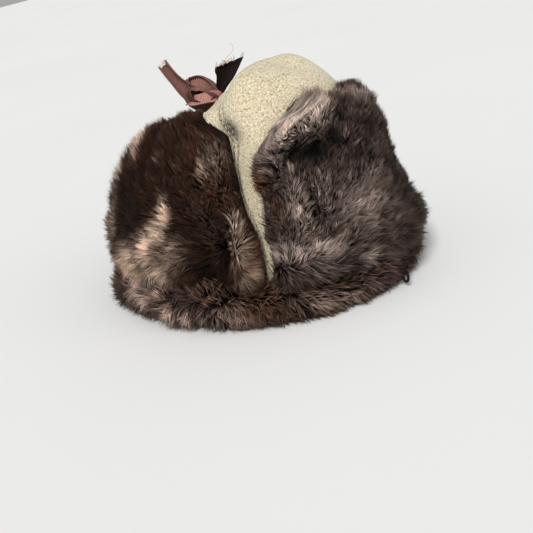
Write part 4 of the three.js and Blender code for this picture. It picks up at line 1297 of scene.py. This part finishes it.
# Middle lines of the ribbon's bends in millimetres from the knot's middle, with its width there, its turn
# about the line in degrees, how far it is rolled across its width in degrees, and its tone where given:
# painted light and shade along the bend
KNOT_BENDS = {
    "knot_wrap": [
        {"right": -11.4, "up": 0.5, "near": 2.0, "width": 12, "turn": 34, "roll": 20, "tone": 0.6},
        {"right": -8.2, "up": 5.6, "near": 1.2, "width": 15, "turn": 58, "roll": 45, "tone": 1.1},
        {"right": -1.5, "up": 7.4, "near": 0.6, "width": 15, "turn": 60, "roll": 50, "tone": 1.1},
        {"right": 6.0, "up": 3.6, "near": 0.0, "width": 13, "turn": 46, "roll": 35, "tone": 0.8},
        {"right": 10.4, "up": -2.0, "near": 0.0, "width": 11, "turn": 26, "roll": 20, "tone": 0.5},
        {"right": 7.2, "up": -7.6, "near": 0.5, "width": 11, "turn": 26, "roll": 20, "tone": 0.35},
        {"right": 0.0, "up": -9.6, "near": 1.0, "width": 11, "turn": 26, "roll": 20, "tone": 0.35},
        {"right": -7.6, "up": -6.6, "near": 1.8, "width": 11, "turn": 28, "roll": 20, "tone": 0.4},
    ],
    "knot_pass": [
        {"right": -9.5, "up": -4.0, "near": -3.0, "width": 10, "turn": 88, "roll": 30},
        {"right": -6.5, "up": -5.6, "near": 3.0, "width": 9, "turn": 75, "roll": 60},
        {"right": -1.0, "up": -5.0, "near": 5.0, "width": 9, "turn": 70, "roll": 60},
        {"right": 5.0, "up": -3.4, "near": 4.6, "width": 10, "turn": 68, "roll": 50},
        {"right": 10.0, "up": -2.4, "near": 0.5, "width": 11, "turn": 66, "roll": 30},
        {"right": 11.5, "up": -3.5, "near": -6.0, "width": 12, "turn": 60, "roll": 20},
    ],
    "knot_back": [
        {"right": -12.5, "up": 4.0, "near": -1.5, "width": 13, "turn": 30, "roll": 30},
        {"right": -11.6, "up": 11.0, "near": -4.5, "width": 14, "turn": 18, "roll": 20},
        {"right": -4.5, "up": 14.4, "near": -6.0, "width": 15, "turn": 12, "roll": 15},
        {"right": 3.8, "up": 11.8, "near": -7.0, "width": 15, "turn": 14, "roll": 15},
        {"right": 10.6, "up": 4.0, "near": -7.0, "width": 14, "turn": 18, "roll": 20},
        {"right": 11.0, "up": -5.0, "near": -7.0, "width": 13, "turn": 15, "roll": 20},
        {"right": 3.0, "up": -9.0, "near": -7.5, "width": 13, "turn": 15, "roll": 20},
        {"right": -7.0, "up": -6.0, "near": -7.0, "width": 13, "turn": 20, "roll": 20},
    ],
    "knot_tuck": [
        {"right": -8.5, "up": 3.5, "near": -4.0, "width": 13, "turn": 80, "roll": 50},
        {"right": -2.0, "up": 2.5, "near": -3.0, "width": 14, "turn": 85, "roll": 60},
        {"right": 4.0, "up": 1.0, "near": -3.5, "width": 14, "turn": 80, "roll": 50},
        {"right": 8.5, "up": -3.5, "near": -4.5, "width": 12, "turn": 70, "roll": 40},
    ],
}
TAIL_BENDS = {
    "tie_tail_back": [
        {"right": -6.0, "up": -2.0, "near": 0.0, "width": 14, "turn": 92, "roll": 90},
        {"right": -13.2, "up": 3.0, "near": 2.4, "width": 16, "turn": 92, "roll": 170},
        {"right": -19.0, "up": 8.6, "near": 3.0, "width": 16, "turn": 90, "roll": 225},
        {"right": -24.4, "up": 14.8, "near": 2.6, "width": 16, "turn": 88, "roll": 245},
        {"right": -29.2, "up": 21.2, "near": 1.6, "width": 16, "turn": 84, "roll": 250},
    ],
    "tie_tail_front": [
        {"right": 9.5, "up": -4.0, "near": -4.0, "width": 6, "turn": 90, "roll": 120},
        {"right": 12.4, "up": 2.5, "near": -5.0, "width": 7, "turn": 95, "roll": 110},
        {"right": 14.6, "up": 9.5, "near": -5.5, "width": 10, "turn": 98, "roll": 80},
        {"right": 17.2, "up": 17.0, "near": -5.5, "width": 15, "turn": 100, "roll": 45},
        {"right": 19.8, "up": 25.0, "near": -5.0, "width": 18, "turn": 104, "roll": 30},
    ],
}
# Painted light and shade of each bend of the ribbon: how far its colour is brightened where lit or darkened
# in shade, and how far each free end is cut aslant in millimetres
RIBBON_TONE = {"knot_wrap": 1.9, "knot_pass": 3.6, "knot_back": 1.1, "knot_tuck": 0.2}
RIBBON_TONE |= {"tie_tail_back_ribbon": 1.6, "tie_tail_front_ribbon": 0.06}
CUT_SLANT = {"tie_tail_back_ribbon": 1.6, "tie_tail_front_ribbon": 15.0}
# The one long thread at the front end, and where the knot and the straps lie, all in millimetres
LOOSE_THREAD = [
    {"right": 14.9, "up": 24.6, "near": -5.0},
    {"right": 17.5, "up": 28.0, "near": -5.0},
    {"right": 20.6, "up": 31.4, "near": -4.6},
    {"right": 22.6, "up": 34.4, "near": -4.0},
    {"right": 22.2, "up": 37.0, "near": -3.6},
    {"right": 19.8, "up": 39.0, "near": -3.4},
]
KNOT_LIFT = (2.85, 1.0, 4.8)
STRAP_ENDS = {"outer": 12.0, "inner": 6.0, "lift": 0.9}
# Faces across a strip of ribbon
STRIP_COLUMNS = 14


def tie_middle():
    """Middle of the knot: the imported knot's, lifted to where its bends lie."""
    low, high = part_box("tie_knot")
    return np.array((low + high) / 2) + np.array(KNOT_LIFT) * MM


def spread_rows(values, count, closed):
    """Smooth in-between values of a table's columns, row by row along a bend."""
    values = np.asarray(values, float)
    last = len(values) if closed else len(values) - 1
    out = []
    for step in np.arange(count) / (count if closed else count - 1) * last:
        k = min(int(step), last - 1)
        t = step - k
        if closed:
            a, b, c, d = (values[(k + o) % len(values)] for o in (-1, 0, 1, 2))
        else:
            a, b, c, d = (values[min(max(k + o, 0), last)] for o in (-1, 0, 1, 2))
        square = 2 * a - 5 * b + 4 * c - d
        cube = 3 * b - a - 3 * c + d
        out.append(0.5 * (2 * b + (c - a) * t + square * t * t + cube * t**3))
    return np.array(out)


def ribbon_strip(name, bends, material, node, closed=False, ragged=0.0):
    """A strip of ribbon swept along its bends, rolled across its width, with its wall thickness.

    The bends are the middle line, the directions across, widths, rolls in degrees and tones, which paint light
    and shade on the ribbon.
    """
    ribbon = settings("hat_ribbon")
    if closed:
        bends = [np.concatenate([column, column[:1]]) for column in bends]
    centres, sides, widths, rolls, tones = bends
    count = len(centres)
    bm = bmesh.new()
    bmesh.ops.create_grid(bm, x_segments=STRIP_COLUMNS, y_segments=count - 1, size=0.5, calc_uvs=True)
    mesh = to_mesh(bm, name)
    flat = coordinates(mesh) + 0.5
    column = flat[:, 0] - 0.5
    row = np.rint(flat[:, 1] * (count - 1)).astype(int)
    runs = unit(np.gradient(centres, axis=0))
    if closed:
        runs[0] = runs[-1] = unit(centres[1] - centres[-2])
    sides = unit(sides - runs * (sides * runs).sum(1)[:, None])
    faces = np.cross(runs, sides)
    roll = np.maximum(np.radians(rolls), 0.02)[row]
    radius = widths[row] / roll
    turn = column * roll
    level = radius * np.sin(turn)
    drop = radius * (np.cos(turn) - np.cos(roll / 2) * 0.5 - 0.5)
    points = centres[row] + sides[row] * level[:, None] + faces[row] * drop[:, None]
    if ragged:
        end = row == count - 1
        rng = np.random.default_rng(SEED + len(name))
        points[end] += runs[row[end]] * (rng.uniform(-1, 1, end.sum()) * ragged)[:, None]
        slant = CUT_SLANT[name] * MM * column * smooth(row / (count - 1), 0.55, 1.0)
        points += runs[row] * slant[:, None]
    set_coordinates(mesh, points)
    # Painted light and shade: each bend's tone brightens or darkens the ribbon's colour
    add_values(mesh, "tone", tones[row] * RIBBON_TONE.get(name, 1.0))
    lengths = np.concatenate([[0], np.cumsum(np.linalg.norm(np.diff(centres, axis=0), axis=1))])
    bm = bmesh.new()
    bm.from_mesh(mesh)
    bm.verts.ensure_lookup_table()
    weave = bm.loops.layers.uv.verify()
    for face in bm.faces:
        for loop in face.loops:
            k = loop.vert.index
            loop[weave].uv = ((column[k] + 0.5) * ribbon.width / MM, lengths[row[k]] / MM)
    if closed:
        bmesh.ops.remove_doubles(bm, verts=bm.verts, dist=0.01 * MM)
    bmesh.ops.recalc_face_normals(bm, faces=bm.faces)
    bm.to_mesh(mesh)
    bm.free()
    piece = add_object(name, mesh, material, [node])
    wall = piece.modifiers.new("wall", "SOLIDIFY")
    wall.thickness = ribbon.thickness
    wall.offset = 0


def tied_strip(name, rows, material, node, closed=False, ragged=0.0):
    """A ribbon strip from a table of the tie."""
    columns = ("right", "up", "near", "width", "turn", "roll")
    values = spread_rows([[row[c] for c in columns] for row in rows], 12 * len(rows), closed)
    # Tones of the bends: painted light and shade
    tones = spread_rows([[row.get("tone", 1.0)] for row in rows], 12 * len(rows), closed)[:, 0]
    centres = tie_middle() + values[:, :3] @ TIE_WAYS * MM
    runs = unit(np.gradient(centres, axis=0))
    near = unit(TIE_WAYS[2] - runs * (runs @ TIE_WAYS[2])[:, None])
    turn = np.radians(values[:, 4])[:, None]
    sides = near * np.cos(turn) + np.cross(runs, near) * np.sin(turn)
    bends = (centres, sides, values[:, 3] * MM, values[:, 5], tones)
    ribbon_strip(name, bends, material, node, closed, ragged)


def strap_strip(node, side, material):
    """The run of ribbon that lies on the crown from an ear flap to the knot; side is 1 on the left."""
    low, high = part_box(node)
    outer, inner = (low.x, high.x) if side < 0 else (high.x, low.x)
    start = np.array([outer, low.y + STRAP_ENDS["outer"] * MM])
    end = np.array([inner, high.y - STRAP_ENDS["inner"] * MM])
    steps = np.linspace(0, 1, 28)
    plan = start * (1 - steps[:, None]) + end * steps[:, None]
    points, normals = dome_above(plan - hat_middle()[:2])
    centres = points + hat_middle() + normals * STRAP_ENDS["lift"] * MM
    sides = np.cross(unit(np.gradient(centres, axis=0)), normals)
    widths = settings("hat_ribbon").width * (1 - 0.35 * smooth(steps, 0.75, 1.0))
    rolls = 6 + 40 * smooth(steps, 0.7, 1.0)
    ribbon_strip(f"{node}_ribbon", (centres, sides, widths, rolls, np.ones(len(steps))), material, node)


def frayed_paths(rows, slant, rng):
    """Middle lines of the loose threads along the slanted cut at the end of a strip."""
    before, last = (np.array([row[c] for c in ("right", "up", "near")]) for row in rows[-2:])
    run = unit((last - before)[None])[0]
    aside = np.array([run[1], -run[0], 0.0])
    bend = math.radians(rows[-1]["roll"])
    radius = rows[-1]["width"] / bend
    paths = []
    for _ in range(26):
        across = rng.uniform(-0.5, 0.5)
        start = last + aside * radius * math.sin(bend * across) + run * slant * across
        start[2] += 0.25 * radius * (math.cos(bend * across) - 0.5)
        way = run * rng.uniform(0.6, 1.0) + aside * rng.normal(0, 0.35) + (0, 0, rng.normal(0, 0.3))
        reach = rng.uniform(1.2, 3.4)
        bow = aside * rng.normal(0, 0.7)
        steps = [start + way * reach * t + bow * t * t for t in (-0.7, 0.1, 0.6, 1.0)]
        paths.append(tie_middle() + np.array(steps) @ TIE_WAYS * MM)
    return paths


def ring_edges(ring):
    """The edges that join a ring's own points, in their order."""
    edges = [e for v in ring for e in v.link_edges if e.verts[0] in ring and e.verts[1] in ring]
    return list(dict.fromkeys(edges))


def fine_threads(name, paths, material):
    """Loose threads along lists of points, joined in one mesh."""
    radius = settings("hat_ribbon").fray_radius
    joined = bmesh.new()
    for path in paths:
        curve = np.array(path)
        runs = unit(np.gradient(curve, axis=0))
        aside = unit(np.cross(runs, (0.31, 0.22, 0.93)))
        ring = []
        for place, run, side in zip(curve, runs, aside):
            pose = Matrix(np.column_stack([side, np.cross(run, side), run]).tolist()).to_4x4()
            pose.translation = Vector(place)
            ring.append(bmesh.ops.create_circle(joined, segments=5, radius=radius, matrix=pose)["verts"])
        for one, two in zip(ring, ring[1:]):
            bmesh.ops.bridge_loops(joined, edges=ring_edges(one) + ring_edges(two))
        for end in (ring[0], ring[-1]):
            bmesh.ops.contextual_create(joined, geom=ring_edges(end))
    bmesh.ops.recalc_face_normals(joined, faces=joined.faces)
    add_object(name, to_mesh(joined, name), material)


# Operators

class HAT_OT_crown(bpy.types.Operator):
    """Felt crown of four gores with sewn seams"""

    bl_idname = "hat.crown"
    bl_label = "Felt crown"

    def execute(self, context):
        felt = settings("hat_felt")
        ring = felt_ring()
        bm = bmesh.new()
        bmesh.ops.create_grid(bm, x_segments=len(ring), y_segments=FELT_ROWS, size=0.5)
        mesh = to_mesh(bm, "felt_crown")
        flat = coordinates(mesh) + 0.5
        angles = np.array([*ring, ring[0] + 360])[np.rint(flat[:, 0] * len(ring)).astype(int)]
        points, _ = felt_points(angles, np.rint(flat[:, 1] * FELT_ROWS) / FELT_ROWS)
        places = points + hat_middle()
        set_coordinates(mesh, places)
        # Groove values: where the felt is darkened as painted shade along each row of topstitching
        add_values(mesh, "groove", seam_lines(angles, points))
        off = places / MM - SMUDGE["place"]
        run = unit(np.array([SMUDGE["run"]], float))[0]
        lengthwise = off @ run
        across = np.linalg.norm(off - lengthwise[:, None] * run, axis=1)
        near = (lengthwise / SMUDGE["along"]) ** 2 + (across / SMUDGE["across"]) ** 2
        add_values(mesh, "smudge", SMUDGE["amount"] * np.exp(-near))
        bm = bmesh.new()
        bm.from_mesh(mesh)
        bmesh.ops.remove_doubles(bm, verts=bm.verts, dist=0.01 * MM)
        bmesh.ops.recalc_face_normals(bm, faces=bm.faces)
        top = max(bm.verts, key=lambda v: v.co.z)
        if top.normal.z < 0:
            bmesh.ops.reverse_faces(bm, faces=bm.faces)
        bm.to_mesh(mesh)
        bm.free()
        tones = (felt.felt_colour, felt.fleck_colour, felt.nap_colour, felt.stain_colour)
        material = wool_felt("wool felt", *(tuple(tone) for tone in tones))
        nodes = ["crown_front", "crown_right", "crown_back", "crown_left"]
        piece = add_object("felt_crown", mesh, material, nodes)
        wall = piece.modifiers.new("wall", "SOLIDIFY")
        wall.thickness = felt.thickness
        wall.offset = -1
        return {"FINISHED"}


class HAT_OT_stitches(bpy.types.Operator):
    """Two rows of topstitching along each crown seam"""

    bl_idname = "hat.stitches"
    bl_label = "Topstitching"

    def execute(self, context):
        felt = settings("hat_felt")
        bm = bmesh.new()
        bmesh.ops.create_uvsphere(bm, u_segments=6, v_segments=4, radius=0.5)
        bm.verts.index_update()
        template = np.array([v.co for v in bm.verts])
        faces = [[v.index for v in f.verts] for f in bm.faces]
        bm.free()
        copies = []
        for seam in SEAMS:
            steps = np.linspace(0.12, 0.985, 400)
            line, _ = felt_points(np.full(400, seam), steps)
            path = np.concatenate([[0], np.cumsum(np.linalg.norm(np.diff(line, axis=0), axis=1))])
            marks = np.arange(0, path[-1], felt.stitch_pitch)
            shares_here = np.interp(marks, path, steps)
            radius = np.interp(marks, path, np.hypot(line[:, 0], line[:, 1] - felt.meeting))
            for side in (-1, 1):
                turn = np.degrees(side * felt.stitch_gap / np.maximum(radius, 2 * felt.stitch_gap))
                points, normals = felt_points(seam + turn, shares_here)
                ahead, _ = felt_points(seam + turn, np.minimum(shares_here + 0.004, 1.0))
                run = unit(ahead - points)
                across = np.cross(normals, run)
                centres = points + normals * felt.thread * 0.12
                placed = (
                    centres[:, None]
                    + run[:, None] * template[:, 0][None, :, None] * felt.stitch_length
                    + across[:, None] * template[:, 1][None, :, None] * felt.thread
                    + normals[:, None] * template[:, 2][None, :, None] * felt.thread
                )
                copies.append(placed)
        placed = np.concatenate(copies) + hat_middle()
        mesh = joined_copies("seam_stitches", placed.reshape(-1, 3), faces, len(placed))
        thread = cotton_thread("cotton thread", tuple(felt.thread_colour))
        add_object("seam_stitches", mesh, thread)
        return {"FINISHED"}


def coat_materials(coat):
    """Fur and hide for one of the three coats, made once each."""
    fur = settings("hat_fur")
    name = f"sheared fur {coat}"
    if name not in bpy.data.materials:
        tones = [tuple(getattr(fur, f"{coat}_{part}")) for part in ("root", "body", "tip", "pale")]
        sheared_fur(name, *tones, tuple(fur.warm_tip))
    if "dyed hide" not in bpy.data.materials:
        dyed_hide("dyed hide", tuple(fur.hide_colour))
    return [bpy.data.materials[n] for n in (name, "dyed hide")]


def flap_bare(centres, normals):
    """Where a flap carries no locks: on the side that lies on the crown and on its foot."""
    facing = (normals * outward_ways(centres)).sum(1)
    return (facing < -0.3) & (normals[:, 2] < 0.12) | (normals[:, 2] < -0.75)


def roll_bare(centres, normals):
    """Where the edge roll carries no locks: its lip and slot inside the hat, and right under the felt."""
    return dome_gauge(centres - hat_middle()) < 1.012


class HAT_OT_front_fur(bpy.types.Operator):
    """Fur of the turned-up front flap"""

    bl_idname = "hat.front_fur"
    bl_label = "Front flap fur"

    def execute(self, context):
        fur = settings("hat_fur")
        counts = (fur.front_underfur, fur.front_guard)
        materials = coat_materials("front")
        tables = (FRONT_LAY, FRONT_SPOTS, FRONT_RELIEF)
        fur_piece("front_flap", "front_fur", counts, tables, materials, flap_bare, 1)
        return {"FINISHED"}


class HAT_OT_ear_fur(bpy.types.Operator):
    """Fur of the two turned-up ear flaps"""

    bl_idname = "hat.ear_fur"
    bl_label = "Ear flap fur"

    def execute(self, context):
        fur = settings("hat_fur")
        materials = coat_materials("ear")
        counts = (fur.ear_right_underfur, fur.ear_right_guard)
        tables = (EAR_LAY, EAR_SPOTS, EAR_RELIEF)
        fur_piece("ear_flap_right", "ear_fur", counts, tables, materials, flap_bare, 2)
        counts = (fur.ear_left_underfur, fur.ear_left_guard)
        spots = {key: mirrored(rows) for key, rows in EAR_SPOTS.items()}
        tables = (mirrored(EAR_LAY), spots, mirrored(EAR_RELIEF))
        fur_piece("ear_flap_left", "ear_fur", counts, tables, materials, flap_bare, 3)
        return {"FINISHED"}


class HAT_OT_neck_fur(bpy.types.Operator):
    """Fur of the turned-up neck flap"""

    bl_idname = "hat.neck_fur"
    bl_label = "Neck flap fur"

    def execute(self, context):
        fur = settings("hat_fur")
        counts = (fur.neck_underfur, fur.neck_guard)
        materials = coat_materials("ear")
        tables = (NECK_LAY, NECK_SPOTS, NECK_RELIEF)
        fur_piece("neck_flap", "ear_fur", counts, tables, materials, flap_bare, 4)
        return {"FINISHED"}


class HAT_OT_roll_fur(bpy.types.Operator):
    """Fur roll around the head opening"""

    bl_idname = "hat.roll_fur"
    bl_label = "Edge roll fur"

    def execute(self, context):
        fur = settings("hat_fur")
        counts = (fur.roll_underfur, fur.roll_guard)
        materials = coat_materials("roll")
        tables = (ROLL_LAY, ROLL_SPOTS, ROLL_RELIEF)
        fur_piece("rim_roll", "roll_fur", counts, tables, materials, roll_bare, 5)
        return {"FINISHED"}


class HAT_OT_tie(bpy.types.Operator):
    """Ribbon straps, their knot on the crown and its two free ends"""

    bl_idname = "hat.tie"
    bl_label = "Ribbon tie"

    def execute(self, context):
        ribbon = settings("hat_ribbon")
        material = woven_ribbon("woven ribbon", tuple(ribbon.ribbon_colour), tuple(ribbon.shade_colour))
        thread = cotton_thread("frayed ribbon thread", tuple(ribbon.fray_colour))
        for name, rows in KNOT_BENDS.items():
            tied_strip(name, rows, material, "tie_knot", closed=name in ("knot_wrap", "knot_back"))
        rng = np.random.default_rng(SEED + 60)
        for name, rows in TAIL_BENDS.items():
            tied_strip(f"{name}_ribbon", rows, material, name, ragged=ribbon.ragged_cut)
            paths = frayed_paths(rows, CUT_SLANT[f"{name}_ribbon"], rng)
            fine_threads(f"{name}_fray", paths, thread)
        curl = [[row[c] for c in ("right", "up", "near")] for row in LOOSE_THREAD]
        path = tie_middle() + spread_rows(curl, 16, False) @ TIE_WAYS * MM
        fine_threads("tie_loose_thread", [path], thread)
        for side, node in ((-1, "tie_strap_right"), (1, "tie_strap_left")):
            strap_strip(node, side, material)
        return {"FINISHED"}


class HAT_OT_loop(bpy.types.Operator):
    """Small ring of cord caught in the fur of the front edge"""

    bl_idname = "hat.loop"
    bl_label = "Cord loop"

    def execute(self, context):
        ribbon = settings("hat_ribbon")
        low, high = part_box("edge_loop")
        middle = (low + high) / 2
        turn = Matrix.Rotation(ribbon.loop_turn, 4, "Z")
        bm = bmesh.new()
        profile = bmesh.ops.create_circle(bm, segments=10, radius=ribbon.cord_thickness / 2)["verts"]
        bmesh.ops.rotate(bm, verts=profile, cent=(0, 0, 0), matrix=Matrix.Rotation(math.pi / 2, 3, "X"))
        bmesh.ops.translate(bm, verts=profile, vec=(ribbon.loop_radius, 0, 0))
        bmesh.ops.spin(
            bm,
            geom=bm.verts[:] + bm.edges[:],
            cent=(0, 0, 0),
            axis=(0, 0, 1),
            angle=math.tau,
            steps=48,
            use_merge=True,
        )
        for vertex in bm.verts:
            angle = math.atan2(vertex.co.y, vertex.co.x)
            ring = Vector((math.cos(angle), math.sin(angle), 0)) * ribbon.loop_radius
            off = vertex.co - ring
            around = math.atan2(off.z, off.dot(ring.normalized()))
            grow = 1 + 0.16 * math.cos(2 * (around - 9 * angle))
            vertex.co = ring + off * grow
        bmesh.ops.recalc_face_normals(bm, faces=bm.faces)
        upright = Matrix.Translation(middle) @ turn @ Matrix.Rotation(math.pi / 2, 4, "Y")
        bmesh.ops.transform(bm, verts=bm.verts, matrix=upright)
        cord = cotton_thread("twisted black cord", tuple(ribbon.cord_colour))
        add_object("edge_loop_cord", to_mesh(bm, "edge_loop_cord"), cord, ["edge_loop"])
        return {"FINISHED"}


def camera_pose(stage, target):
    """Place and turn of a camera that sees the target at its own pixel of the picture."""
    azimuth, elevation = stage.azimuth, stage.elevation
    back = Vector((math.sin(azimuth), -math.cos(azimuth), math.tan(elevation))).normalized()
    right = Vector((math.cos(azimuth), math.sin(azimuth), 0))
    level = Matrix([right, back.cross(right), back]).transposed().to_4x4()
    yaw = math.atan((TARGET_PIXEL[0] - PICTURE / 2) / stage.focal_pixels)
    pitch = math.atan((PICTURE / 2 - TARGET_PIXEL[1]) / stage.focal_pixels)
    aim = Matrix.Rotation(-stage.roll, 4, "Z") @ Matrix.Rotation(yaw, 4, "Y") @ Matrix.Rotation(-pitch, 4, "X")
    return Matrix.Translation(target + back * stage.distance) @ level @ aim


class HAT_OT_stage(bpy.types.Operator):
    """Pale floor, soft light and the camera"""

    bl_idname = "hat.stage"
    bl_label = "Stage"

    def execute(self, context):
        stage = settings("hat_stage")
        bm = bmesh.new()
        bmesh.ops.create_grid(bm, x_segments=2, y_segments=2, size=6.0)
        floor = bpy.data.objects.new("floor", to_mesh(bm, "floor"))
        bpy.context.scene.collection.objects.link(floor)
        floor.data.materials.append(painted_board("matt painted board", tuple(stage.floor_colour)))

        world = bpy.data.worlds.new("studio")
        bpy.context.scene.world = world
        world.use_nodes = True
        sky = world.node_tree.nodes["Background"].inputs
        sky["Color"].default_value = (1.0, 1.0, 1.0, 1.0)
        sky["Strength"].default_value = stage.sky_power
        bpy.context.scene.view_settings.view_transform = "Standard"

        target = Vector((0, 0, stage.target_height))
        for name, power in (("key", stage.key_power), ("fill", stage.fill_power)):
            lamp = bpy.data.lights.new(name, "SUN")
            lamp.angle = math.radians(LAMPS[name]["spread"])
            lamp.energy = power
            shown = bpy.data.objects.new(name, lamp)
            shown.location = LAMPS[name]["place"]
            shown.rotation_mode = "QUATERNION"
            shown.rotation_quaternion = (target - shown.location).to_track_quat("-Z", "Y")
            bpy.context.scene.collection.objects.link(shown)

        lens = bpy.data.cameras.new("camera")
        lens.sensor_width = 36.0
        lens.lens = lens.sensor_width * stage.focal_pixels / PICTURE
        lens.clip_start, lens.clip_end = 0.01, 50.0
        camera = bpy.data.objects.new("camera", lens)
        camera.matrix_world = camera_pose(stage, target)
        bpy.context.scene.collection.objects.link(camera)
        bpy.context.scene.camera = camera
        return {"FINISHED"}


OPERATORS = [
    HAT_OT_stage,
    HAT_OT_crown,
    HAT_OT_stitches,
    HAT_OT_front_fur,
    HAT_OT_ear_fur,
    HAT_OT_neck_fur,
    HAT_OT_roll_fur,
    HAT_OT_tie,
    HAT_OT_loop,
]


class HAT_PT_panel(bpy.types.Panel):
    """Lists the hat's pieces"""

    bl_idname = "HAT_PT_panel"
    bl_label = "Felt and fur hat"
    bl_space_type = "VIEW_3D"
    bl_region_type = "UI"
    bl_category = "Hat"

    def draw(self, context):
        for operator in OPERATORS:
            self.layout.operator(operator.bl_idname)


def register():
    for kind in [*SETTINGS.values(), *OPERATORS, HAT_PT_panel]:
        bpy.utils.register_class(kind)
    for name, kind in SETTINGS.items():
        setattr(bpy.types.Scene, name, PointerProperty(type=kind))


def unregister():
    for name in SETTINGS:
        delattr(bpy.types.Scene, name)
    for kind in [HAT_PT_panel, *OPERATORS, *SETTINGS.values()]:
        bpy.utils.unregister_class(kind)


def main():
    register()
    for operator in OPERATORS:
        group, name = operator.bl_idname.split(".")
        getattr(getattr(bpy.ops, group), name)()


if __name__ == "__main__":
    main()
